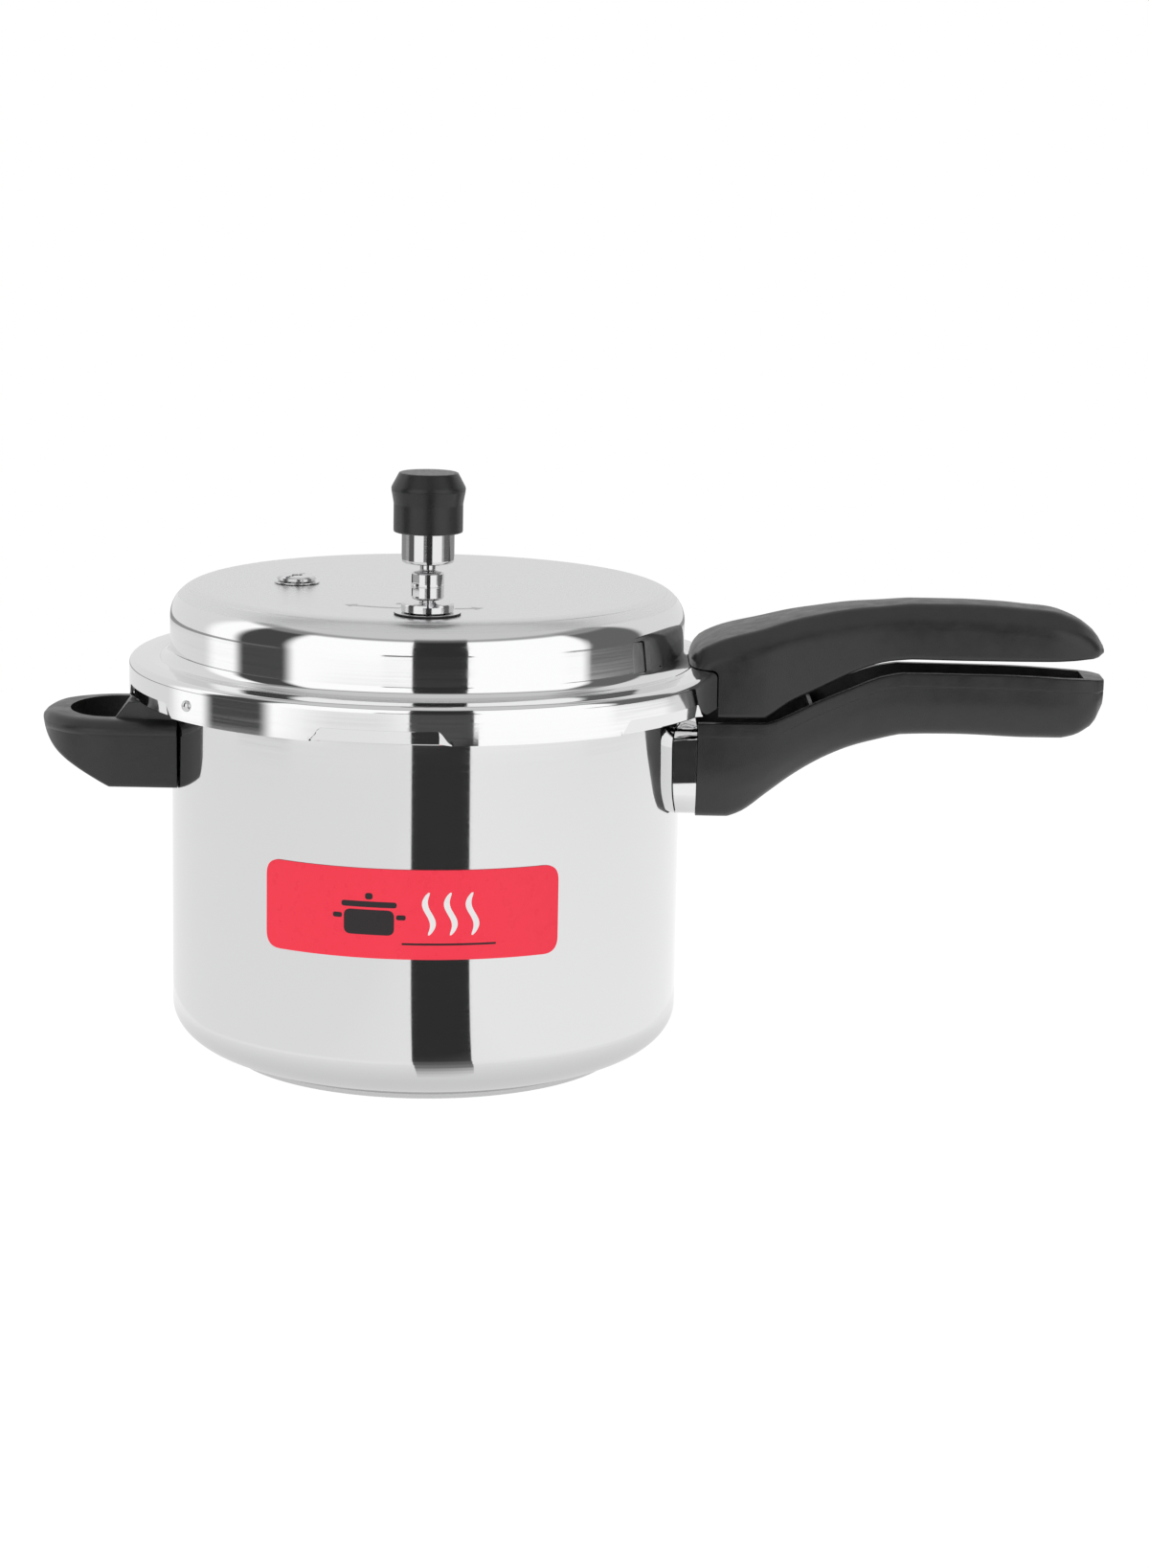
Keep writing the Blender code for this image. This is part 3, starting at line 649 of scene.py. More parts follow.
def steam_wisp(x, low, high):
    """A wavy upright stroke with tapering ends."""
    sway, half, steps = 0.0016, 0.0013, 18
    left, right = [], []
    for i in range(steps + 1):
        t = i / steps
        centre = x + sway * math.sin(t * math.tau)
        width = half * (0.25 + 0.75 * math.sin(math.pi * t) ** 0.5)
        z = low + (high - low) * t
        left.append((centre - width, z))
        right.append((centre + width, z))
    return right + left[::-1]


# ---------------------------------------------------------------- lid


def skirt_angles():
    """One angle every degree and a half round the lid, and many more where the lugs' ends curve."""
    coarse, fine, reach = 1.5, 0.2, 2.4
    angles = set(np.round(np.arange(0, 360, coarse), 3))
    for i in range(LUG_COUNT):
        for side in (-1, 1):
            end = FRONT_LUG_ANGLE + 360 / LUG_COUNT * i + side * LUG_HALF
            angles |= {round(a % 360, 3) for a in np.arange(end - reach, end + reach, fine)}
    return np.radians(sorted(angles))


def lid_shape(angle, r, z):
    """Presses the skirt's lower edge inwards at the six lugs, under a ledge whose ends curve down."""
    line, top = SKIRT_BOTTOM_Z + LUG_LEDGE, SKIRT_TOP_Z
    if z > top or r < SKIRT_R - 0.0040:
        return r, z
    share = lug_share(angle, LUG_HALF, LUG_BLEND)
    least, step_height, sharpness = 0.0006, 0.0002, 12
    ledge = SKIRT_BOTTOM_Z + least + (LUG_LEDGE - least) * share
    if z >= line:
        return r, top - (top - z) * (top - ledge) / (top - line)
    new_z = SKIRT_BOTTOM_Z + (z - SKIRT_BOTTOM_Z) * (ledge - SKIRT_BOTTOM_Z) / LUG_LEDGE
    under = ledge - new_z
    depth = LUG_STEP * min(1.0, under / step_height) + (LUG_DEPTH - LUG_STEP) * under / LUG_LEDGE
    return r - depth * min(1.0, share * sharpness), new_z


def lid_fillet(clearance, steps):
    """Hollow curve between the lid's wall and its flange, moved outwards by a clearance."""
    size = FILLET - clearance
    return arc((LID_R + FILLET, FLANGE_TOP_Z + FILLET), (size, size), 180, 262, steps)


def lid_outside():
    """The lid's outer section: top, shoulder, wall, fillet, crease, flange, rolled edge and skirt."""
    points = [(0, LID_TOP_Z), (0.03, LID_TOP_Z), (0.06, LID_TOP_Z), (0.085, LID_TOP_Z)]
    shoulder = arc((LID_R - SHOULDER, LID_TOP_Z - SHOULDER), (SHOULDER, SHOULDER), 90, 0, 30)
    # A fine line turned into the shoulder where the satin ends.
    line_at, depth = 8, 0.00016
    r, z = shoulder[line_at]
    line = [(r - depth, z + depth * 0.4), (r, z - depth), (r + depth, z - depth * 0.5)]
    points += shoulder[:line_at] + line + shoulder[line_at + 1 :] + lid_fillet(0, 14)
    r, z = points[-1]
    points += [(r + 0.0003, z - 0.0003), (r + 0.0007, z + 0.0001), (0.1115, FLANGE_TOP_Z + 0.00025)]
    points += [(0.1140, FLANGE_TOP_Z + 0.0004), (0.1170, FLANGE_TOP_Z + 0.0002)]
    edge = 0.0026
    points += arc((SKIRT_R - edge, FLANGE_TOP_Z - edge - 0.0001), (edge, edge), 84, 0, 10)
    ledge = SKIRT_BOTTOM_Z + LUG_LEDGE
    points += [(SKIRT_R, SKIRT_TOP_Z + (ledge - SKIRT_TOP_Z) * i / 8) for i in range(9)]
    start, end = ledge - 0.0002, SKIRT_BOTTOM_Z + 0.0005
    return points + [(SKIRT_R, start + (end - start) * i / 6) for i in range(7)]


def lid_inside():
    """The rest of the lid's section: the skirt's lower edge, and back up the inside to the middle."""
    inside, bottom, under = SKIRT_R - LID_SHEET, SKIRT_BOTTOM_Z, FLANGE_TOP_Z - LID_SHEET
    points = [(SKIRT_R - 0.0003, bottom + 0.0001), (SKIRT_R - 0.0007, bottom), (inside + 0.0007, bottom)]
    points += [(inside + 0.0002, bottom + 0.0002)]
    points += [(inside, bottom + 0.0006 + (SKIRT_TOP_Z - bottom) * i / 12) for i in range(13)]
    points += [(inside - 0.0005, under), (0.1090, under), (0.1062, under + 0.0012)]
    points += [(LID_R - LID_SHEET, under + 0.0047)]
    size = SHOULDER - LID_SHEET
    points += arc((LID_R - SHOULDER, LID_TOP_Z - SHOULDER), (size, size), 0, 90, 14)
    return points + [(0.05, LID_TOP_Z - LID_SHEET), (0, LID_TOP_Z - LID_SHEET)]


def make_lid(metal, top_metal):
    mesh = turned_mesh("lid_fine", lid_outside() + lid_inside(), shape=lid_shape, angles=skirt_angles())
    low, high = LID_TOP_Z - 0.02, LID_TOP_Z + 0.02
    mesh = carved(mesh, [("DIFFERENCE", rod_mesh(at, low, high, HOLE_R, 48)) for at in (VENT_AT, VALVE_AT)])
    new_object("lid_fine", mesh, metal, "lid", "polished_aluminium", "lid_shell")
    mesh.materials.append(top_metal)
    # The satin runs onto the shoulder as far as this slope, and never below this height.
    satin_slope = math.radians(46.5)
    satin_low = LID_TOP_Z - 0.0045
    satin_r = LID_R - SHOULDER + SHOULDER * math.sin(satin_slope)
    for face in mesh.polygons:
        x, y, z = face.center
        if z > satin_low and math.hypot(x, y) < satin_r and face.normal.z > 0:
            face.material_index = 1


def make_lid_marks():
    """Etched turn arrow in front of the lid's middle: an arc with a head at each end, and three dots."""
    surface = etched()
    radius, centre, half, line = 0.066, -93.0, 21.0, 0.0011
    start, end = centre - half, centre + half
    outline = arc((0, 0), (radius + line, radius + line), start, end, 30)
    outline += arrow_head(radius, end, 1)
    outline += arc((0, 0), (radius - line, radius - line), end, start, 30)
    outline += arrow_head(radius, start, -1)
    flat_mark("lid_mark_arrow", outline, surface)
    dots_r, dot_r = 0.0545, 0.0016
    for i in range(3):
        dot = arc(polar(dots_r, centre + 6.5 * (i - 1)), (dot_r, dot_r), 0, 345, 23)
        flat_mark(f"lid_mark_dot_{i}", dot, surface)


def arrow_head(radius, angle, sense):
    """Three points of an arrow head at the end of an arc; sense is the way it points."""
    half, length = 0.0034, 3.6
    outer, inner = polar(radius + half, angle), polar(radius - half, angle)
    point = polar(radius, angle + sense * length)
    return [outer, point, inner] if sense > 0 else [inner, point, outer]


def flat_mark(name, outline, surface):
    lift, thickness = 0.00002, 0.00003
    bm = bmesh.new()
    bm.faces.new([bm.verts.new((x, y, LID_TOP_Z + lift)) for x, y in outline])
    for vert in thickened(bm):
        vert.co.z += thickness
    bmesh.ops.recalc_face_normals(bm, faces=bm.faces)
    new_object(name, mesh_from(name, bm), surface, "lid", "polished_aluminium")


def make_rivet(steel):
    """Domed head against the skirt, on a short stem."""
    radius, height, stem_r, stem_end = 0.0023, 0.0016, 0.0011, -0.0032
    dome = [(0, height)] + arc((0, 0), (radius, height), 90, 0, 9)[1:]
    mesh = turned_mesh("rivet_fine", dome + [(stem_r, -0.0001), (stem_r, stem_end), (0, stem_end)], 32)
    middle = middle_of("skirt_rivet")
    out = Vector((middle.x, middle.y, 0)).normalized()
    turn = out.to_track_quat("Z", "Y").to_matrix().to_4x4()
    mesh.transform(Matrix.Translation(Vector((0, 0, middle.z)) + out * SKIRT_R) @ turn)
    new_object("rivet_fine", mesh, steel, "lid", "bracket_steel", "skirt_rivet")


# ---------------------------------------------------------------- gasket, vent, weight, valve


def make_gasket(surface):
    low, high = RIM_TOP_Z + GAP, FLANGE_TOP_Z - LID_SHEET - GAP
    inner, outer = 0.1046, 0.1115
    corners = [(inner, high - 0.0014), (0.1054, high), (0.1112, high), (outer, low), (inner, low)]
    profile = rounded(corners, 0.0006, 4, closed=True)
    turned_piece("gasket_fine", profile, 192, (0, 0), surface, "gasket", "rubber", "sealing_gasket")


def ring_section(low, high, radius, edge):
    """Section of a flat washer on the lid, round one of the lid's holes."""
    corners = [(HOLE_R, high), (radius, high), (radius, low), (HOLE_R, low)]
    return rounded(corners, edge, 3, closed=True)


def vent_profile(seat, foot_top):
    """Section of the vent: rounded tip, neck, collar with a fine groove, neck, foot and inner thread."""
    bore, neck, collar, foot, thread = 0.0014, 0.0031, 0.0064, 0.0103, 0.0048
    top, groove = VENT_TOP_Z, collar + 0.00012
    profile = [(bore, top - 0.002), (bore + 0.0002, top - 0.0002), (0.0019, top), (0.0024, top - 0.0003)]
    profile += [(neck, top - 0.0018), (neck, 0.2136), (0.0034, 0.2131), (0.0055, 0.2127), (0.0060, 0.2124)]
    profile += [(collar, 0.2118), (collar, 0.20765), (groove, 0.2074), (groove, 0.2071), (collar, 0.20685)]
    profile += [(collar, 0.2026), (0.0060, 0.2020), (0.0055, 0.2017), (0.0034, 0.2014), (neck, 0.2010)]
    profile += [(neck, foot_top + 0.0004), (neck + 0.0005, foot_top), (foot - 0.0006, foot_top)]
    profile += [(foot - 0.0002, foot_top - 0.0002), (foot, foot_top - 0.0006), (foot, seat + 0.0002)]
    profile += [(foot - 0.0002, seat), (thread, seat), (thread, 0.1835), (0.0044, 0.1830), (bore, 0.1830)]
    return profile


def make_vent(steel, surface):
    washer_low = LID_TOP_Z + GAP
    washer_high = washer_low + 0.0006
    seat = washer_high + GAP
    foot_top = seat + 0.0034
    mesh = turned_mesh("vent_pipe_fine", vent_profile(seat, foot_top), 96, at=VENT_AT)
    place = Matrix.Translation((*VENT_AT, 0))
    # A wide shallow groove across the foot, and two small pockets milled in the collar's left side.
    groove = box_mesh((-0.0026, -0.0120, foot_top - 0.0009), (0.0026, 0.0120, foot_top + 0.001))
    groove.transform(place @ Matrix.Rotation(math.radians(14), 4, "Z"))
    cuts = [("DIFFERENCE", outside_neck(groove, 0.0033, VENT_AT))]
    for low, high in ((0.2032, 0.2062), (0.2083, 0.2117)):
        pocket = box_mesh((0.0057, -0.0024, low), (0.0080, 0.0024, high))
        pocket.transform(place @ Matrix.Rotation(math.radians(-140), 4, "Z"))
        cuts.append(("DIFFERENCE", pocket))
    pipe = new_object("vent_pipe_fine", carved(mesh, cuts), steel, "lid", "bright_steel", "vent_pipe")
    softened(pipe, 0.00012, 2, 50)
    section = ring_section(washer_low, washer_high, 0.0131, 0.00012)
    ring = turned_piece("vent_washer_fine", section, 96, VENT_AT, surface, "lid", "rubber", "vent_washer")
    # The washer's top is faced with steel.
    upward = 0.7
    ring.data.materials.append(steel)
    for face in ring.data.polygons:
        if face.normal.z > upward:
            face.material_index = 1


def make_weight(steel, knob_surface):
    """Steel weight, open below for the vent, in a black knob with a waist."""
    low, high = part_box("weight_body")
    bottom, top, radius, bore, clip_r, roof = low.z, high.z, 0.01025, 0.0039, 0.0051, 0.2262
    body = [(0, top), (radius - 0.0004, top), (radius, top - 0.0004), (radius, bottom + 0.0011)]
    body += [(radius - 0.0003, bottom + 0.0004), (radius - 0.0010, bottom), (bore + 0.0006, bottom)]
    body += [(bore, bottom + 0.0006), (bore, 0.2175), (clip_r, 0.2175), (clip_r, 0.2195), (bore, 0.2195)]
    body += [(bore, roof), (0, roof)]
    turned_piece("weight_body_fine", body, 96, VENT_AT, steel, "weight", "bright_steel", "weight_body")
    low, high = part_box("weight_knob")
    z0, z1, waist = low.z, high.z, 0.0135
    knob = [(0, z1 - 0.0001), (0.0060, z1), (0.0110, z1), (0.0115, z1 - 0.0002), (0.0118, z1 - 0.0007)]
    knob += [(0.0143, z1 - 0.0054), (0.01445, z1 - 0.0060), (0.01445, z1 - 0.0066), (0.01432, z1 - 0.0067)]
    knob += [(0.01432, z1 - 0.0070), (0.0144, z1 - 0.0071), (0.01375, z1 - 0.0106), (waist, z1 - 0.0122)]
    knob += [(waist, z0 + 0.0007), (waist - 0.00015, z0 + 0.0002), (waist - 0.0006, z0), (radius + GAP, z0)]
    knob += [(radius + GAP, top + GAP), (0, top + GAP)]
    turned_piece("weight_knob_fine", knob, 96, VENT_AT, knob_surface, "weight", "knob_black", "weight_knob")


def valve_lobes(angle, r, z):
    """Draws the rim of the valve's head in at three places."""
    rim, depth = 0.006, 0.00055
    if r < rim:
        return r, z
    return r - depth * (0.5 + 0.5 * math.cos(3 * angle + 0.6)), z


def make_valve(steel):
    """Slotted, lobed head of the safety valve on its washer."""
    washer_low = LID_TOP_Z + GAP
    washer_high = washer_low + 0.0005
    seat = washer_high + GAP
    top, radius, bore, thread, end = VALVE_TOP_Z, 0.0082, 0.0022, 0.0048, 0.1870
    profile = [(bore, top), (bore + 0.0002, top), (radius - 0.0012, top), (radius - 0.0004, top - 0.0002)]
    profile += [(radius, top - 0.0008), (radius, seat + 0.0003), (radius - 0.0003, seat), (thread, seat)]
    profile += [(thread, end + 0.0005), (0.0044, end), (bore, end)]
    mesh = turned_mesh("valve_body_fine", profile, 96, at=VALVE_AT, shape=valve_lobes)
    slot = box_mesh((-0.012, -0.0008, top - 0.0009), (0.012, 0.0008, top + 0.001))
    slot.transform(Matrix.Translation((*VALVE_AT, 0)) @ Matrix.Rotation(math.radians(62), 4, "Z"))
    mesh = carved(mesh, [("DIFFERENCE", outside_neck(slot, 0.0026, VALVE_AT))])
    valve = new_object("valve_body_fine", mesh, steel, "lid", "bracket_steel", "safety_valve_body")
    softened(valve, 0.00015, 2, 50)
    section = ring_section(washer_low, washer_high, 0.0093, 0.0002)
    turned_piece(
        "valve_washer_fine", section, 72, VALVE_AT, steel, "lid", "bracket_steel", "safety_valve_washer"
    )


# ---------------------------------------------------------------- handles

WALL = 0.004
HANDLE_STEPS = 72
HANDLE_EDGE = 0.0005
SHARP_CORNER = 42  # degrees

# x, bottom, top, half width of the flat top, half width of the sides
LID_HANDLE = (
    (0.1075, 0.1468, 0.1668, 0.0100, 0.0262),
    (0.1088, 0.1468, 0.1706, 0.0160, 0.0270),
    (0.1105, 0.1468, 0.1732, 0.0190, 0.0277),
    (0.1124, 0.1468, 0.1750, 0.0208, 0.0282),
    (0.1160, 0.1468, 0.1769, 0.0217, 0.0285),
    (0.1385, 0.1468, 0.1837, 0.0195, 0.0270),
    (0.1485, 0.1533, 0.1866, 0.0165, 0.0248),
    (0.1608, 0.1590, 0.1891, 0.0138, 0.0222),
    (0.1736, 0.1650, 0.1912, 0.0120, 0.0198),
    (0.1860, 0.1692, 0.1923, 0.0108, 0.0178),
    (0.1985, 0.1706, 0.1934, 0.0098, 0.0168),
    (0.2200, 0.1704, 0.1935, 0.0090, 0.0164),
    (0.2450, 0.1704, 0.1921, 0.0088, 0.0160),
    (0.2610, 0.1706, 0.1899, 0.0078, 0.0150),
    (0.2700, 0.1711, 0.1855, 0.0058, 0.0125),
    (0.2760, 0.1717, 0.1798, 0.0036, 0.0085),
    (0.2785, 0.1730, 0.1756, 0.0015, 0.0040),
)

# x, bottom, rim, half width at the bottom, half width at the rim
POT_HANDLE = (
    (0.1115, 0.1041, 0.1448, 0.0190, 0.0285),
    (0.1245, 0.1040, 0.1448, 0.0185, 0.0280),
    (0.1307, 0.1064, 0.1448, 0.0180, 0.0275),
    (0.1397, 0.1131, 0.1448, 0.0170, 0.0265),
    (0.1497, 0.1205, 0.1486, 0.0158, 0.0246),
    (0.1598, 0.1267, 0.1532, 0.0146, 0.0222),
    (0.1736, 0.1328, 0.1586, 0.0130, 0.0192),
    (0.1859, 0.1362, 0.1632, 0.0120, 0.0172),
    (0.1950, 0.1382, 0.1649, 0.0112, 0.0163),
    (0.2180, 0.1387, 0.1648, 0.0106, 0.0156),
    (0.2480, 0.1378, 0.1643, 0.0104, 0.0154),
    (0.2620, 0.1378, 0.1636, 0.0100, 0.0148),
    (0.2709, 0.1408, 0.1632, 0.0085, 0.0132),
    (0.2757, 0.1450, 0.1629, 0.0065, 0.0108),
    (0.2785, 0.1512, 0.1626, 0.0045, 0.0075),
)


def pot_keep_out():
    """The space inside the pot's outer wall, with a gap round it."""
    r = POT_R + GAP
    return turned_mesh("pot_keep_out", [(0, 0.20), (r, 0.20), (r, -0.02), (0, -0.02)], FINE)


def lid_keep_out():
    """The space that the lid's dome, fillet and flange take, with a gap round it."""
    edge, top, roll = SKIRT_R + GAP, FLANGE_TOP_Z + GAP, 0.0026
    profile = [(0, 0.22), (LID_R + GAP, 0.22)] + lid_fillet(GAP, 12)
    profile += [(0.1130, top + 0.0004), (0.1170, top + 0.0002)]
    profile += arc((edge - roll, top - roll), (roll, roll), 84, 0, 8)
    return turned_mesh("lid_keep_out", profile + [(edge, 0.10), (0, 0.10)], FINE)


def lid_handle_half(bottom, top, flat, side):
    """Half section of the upper handle: upright side, chamfer and a slightly crowned top."""
    chamfer = min(0.0075, (top - bottom) * 0.42)
    crown = 0.0005
    corners = [(0, bottom), (side * 0.96, bottom), (side, top - chamfer), (flat, top - crown), (0, top)]
    return rounded(corners, [0.0022, 0.0034, 0.0020], 7)


def pot_handle_half(bottom, rim, low, wide):
    """The section steps in by a hair under its rim, where the mould's parting line runs."""
    bulge = bottom + (rim - bottom) * 0.42
    part = rim - min(0.0055, (rim - bottom) * 0.4)
    corners = [(0, bottom), (low, bottom), (wide * 0.962, bulge), (wide - 0.0006, part - 0.0001)]
    corners += [(wide, part + 0.0003), (wide, rim), (0, rim)]
    return rounded(corners, [0.0046, 0.0060, 0.0002, 0.0003, 0.0012], 7)


def make_lid_handle(surface):
    """Upper handle: a chamfered arch, hollow below, fitted round the lid."""
    rows = smooth_table(LID_HANDLE, HANDLE_STEPS)
    mesh = loft_mesh("lid_handle_fine", [(row[0], lid_handle_half(*row[1:])) for row in rows])
    roof_end, low_roof, cover = 0.163, 0.1650, 0.0065
    cavity = []
    for x in (0.100, 0.1625, 0.1635, 0.1860, 0.2200, 0.2450, 0.2600):
        bottom, top, flat, side = between(LID_HANDLE, max(x, 0.1124))
        roof = low_roof if x < roof_end else top - cover
        low, upper = bottom - 0.01, min(side, flat + 0.006) - WALL
        cavity.append((x, [(0, low), (side - WALL, low), (upper, roof), (0, roof)]))
    cuts = [("DIFFERENCE", loft_mesh("cavity", cavity))]
    for end in ("front", "rear"):
        cuts.append(screw_hole(f"lid_handle_screw_{end}", 0.150, 0.1745, 0.0023, 24))
    cuts.append(("DIFFERENCE", lid_keep_out()))
    handle = new_object("lid_handle_fine", carved(mesh, cuts), surface, "lid", "bakelite", "lid_handle")
    softened(handle, HANDLE_EDGE, 3, SHARP_CORNER)


def make_pot_handle(surface):
    """Lower handle: an open channel with a web across it near the pot."""
    rows = smooth_table(POT_HANDLE, HANDLE_STEPS)
    mesh = loft_mesh("pot_handle_fine", [(row[0], pot_handle_half(*row[1:])) for row in rows])
    least_floor, lip = 0.1186, 0.004
    channel = []
    for x in (0.100, 0.1397, 0.1497, 0.1598, 0.1736, 0.1859, 0.1950, 0.2480, 0.2620, 0.2700):
        bottom, rim, low, wide = between(POT_HANDLE, x)
        floor = max(bottom + 0.005, least_floor)
        side, top = wide - WALL, rim + 0.01
        channel.append((x, [(0, floor), (low - 0.001, floor), (side, rim - lip), (side, top), (0, top)]))
    cuts = [
        ("DIFFERENCE", loft_mesh("channel", channel)),
        ("UNION", box_mesh((0.1575, -0.0195, 0.1400), (0.1590, 0.0195, 0.1505))),
        screw_hole("pot_handle_screw", 0.095, 0.130, 0.0028),
        screw_hole("pot_handle_screw", 0.095, 0.1105, 0.0053),
    ]
    handle = new_object("pot_handle_fine", carved(mesh, cuts), surface, "pot", "bakelite", "pot_handle")
    softened(handle, HANDLE_EDGE, 3, SHARP_CORNER)


FERRULE_WALL = 0.0028


def ferrule_half(wall):
    """Half section of the ferrule, with a wall's thickness taken off each side."""
    low, foot, flank, shoulder = 0.1052 + wall, 0.0195 - wall, 0.0268 - wall, 0.0278 - wall
    top = 0.1420 - wall
    corners = [(0, low), (foot, low), (flank, 0.1145), (shoulder, top - 0.005)]
    corners += [(shoulder - 0.003, top), (0, top)]
    return rounded(corners, [0.004, 0.006, 0.003, 0.0028], 8)


def make_ferrule(metal):
    """Bright sleeve between the pot's wall and the lower handle."""
    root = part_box("pot_handle_ferrule")[1].x
    rings = [(x, ferrule_half(0)) for x in (0.092, 0.097, 0.102, 0.107, root)]
    inner = [(x, ferrule_half(FERRULE_WALL)) for x in (0.085, root + 0.004)]
    cuts = [("DIFFERENCE", loft_mesh("hollow", inner)), ("DIFFERENCE", pot_keep_out())]
    mesh = carved(loft_mesh("ferrule_fine", rings), cuts)
    ferrule = new_object("ferrule_fine", mesh, metal, "pot", "bright_steel", "pot_handle_ferrule")
    softened(ferrule, HANDLE_EDGE, 3, SHARP_CORNER)


HELPER_TIP_X = -0.1585
# x, half width, top of the wedge between the helper handle's hole and the pot
HELPER_WEDGE = (
    (-0.1262, 0.0265, 0.1425),
    (-0.1205, 0.0275, 0.1495),
    (-0.1120, 0.0290, 0.1505),
    (-0.1000, 0.0300, 0.1506),
)


def helper_half_width(x):
    """Half width of the helper handle: a blunt, rounded end in plan."""
    reach, widest, bluntness = 0.034, 0.036, 2.3
    t = min(1.0, (x - HELPER_TIP_X) / reach)
    return widest * math.sqrt(max(0.0, 1 - (1 - t) ** bluntness))


def helper_half(x):
    """Half section of the helper handle: upright side, parting line, round bead and a rolled top edge."""
    bottom, rise, slope_start, slope_length = 0.1152, 0.0238, -0.1280, 0.0305
    crest, roll, drop = 0.1428, 0.0080, 0.0034
    width = helper_half_width(x)
    s = max(0.0, (slope_start - x) / slope_length)
    low = bottom + rise * (0.68 * s + 0.32 * s**8)
    t = max(0.0, 1 - (x - HELPER_TIP_X) / roll)
    top = crest - drop * (1 - math.sqrt(1 - t * t))
    part = max(top - 0.0062, low + (top - low) * 0.3)
    bead = part + (top - part) * 0.15
    inset = min(0.0010, width * 0.08)
    corners = [(0, low), (width - inset - 0.0006, low), (width - inset, part - 0.0001)]
    corners += [(width - inset * 0.9, part), (width, bead), (width, bead + (top - bead) * 0.45)]
    corners += [(width - min(0.0042, width * 0.34), top), (width * 0.3, top), (0, top)]
    return rounded(corners, [0.0022, 0.0001, 0.0001, 0.0009, 0.0028, 0.0030, 0.003], 6)


def helper_hole():
    """Sections of the finger hole, rounded at its outer end."""
    outer, inner, steps = -0.1474, -0.1215, 28
    widest, curve_start, curve_length = 0.0250, -0.1290, 0.0184
    sections = []
    for i in range(steps + 1):
        x = outer + (inner - outer) * (i / steps) ** 1.4
        reach = widest * math.sqrt(max(0.01, 1 - max(0.0, (curve_start - x) / curve_length) ** 2))
        sections.append((x, [(0, 0.10), (reach, 0.10), (reach, 0.16), (0, 0.16)]))
    return loft_mesh("hole", sections)


def helper_wedge():
    """The raised block between the finger hole and the pot."""
    low, sections = 0.136, []
    for x, width, top in HELPER_WEDGE:
        sections.append((x, rounded([(0, low), (width, low), (width, top), (0, top)], [0, 0.0012], 4)))
    return loft_mesh("wedge", sections)


def make_helper_handle(surface):
    tip, root, steps = -0.1582, -0.1000, 56
    sections = []
    for i in range(steps + 1):
        x = tip + (root - tip) * (i / steps) ** 1.8
        sections.append((x, helper_half(x)))
    mesh = loft_mesh("helper_handle_fine", sections)
    cuts = [
        ("DIFFERENCE", helper_hole()),
        ("UNION", helper_wedge()),
        ("DIFFERENCE", box_mesh((-0.1185, -0.0105, 0.1235), (-0.095, 0.0105, 0.1275))),
        ("DIFFERENCE", box_mesh((-0.1085, -0.0145, 0.1175), (-0.095, 0.0145, 0.1335))),
        screw_hole("helper_screw", 0.110, 0.1325, 0.0028),
        screw_hole("helper_screw", 0.110, 0.1185, 0.0048),
        ("DIFFERENCE", pot_keep_out()),
    ]
    handle = new_object("helper_handle_fine", carved(mesh, cuts), surface, "pot", "bakelite", "helper_handle")
    softened(handle, 0.0009, 4, SHARP_CORNER)


def dress_hidden_nodes(steel, surface):
    """Brackets, screws, nuts and the weight's inner parts keep their CAD meshes and get real finishes."""
    replaced = {name for obj in bpy.data.objects for name in obj.get("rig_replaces", [])}
    for name, obj in NODES.items():
        if name in replaced:
            continue
        obj.data.materials.clear()
        obj.data.materials.append(surface if "washer" in name and "inner" not in name else steel)
        obj.data.shade_smooth()
        obj.data.set_sharp_from_angle(angle=SHARP_ANGLE)


# ---------------------------------------------------------------- stage


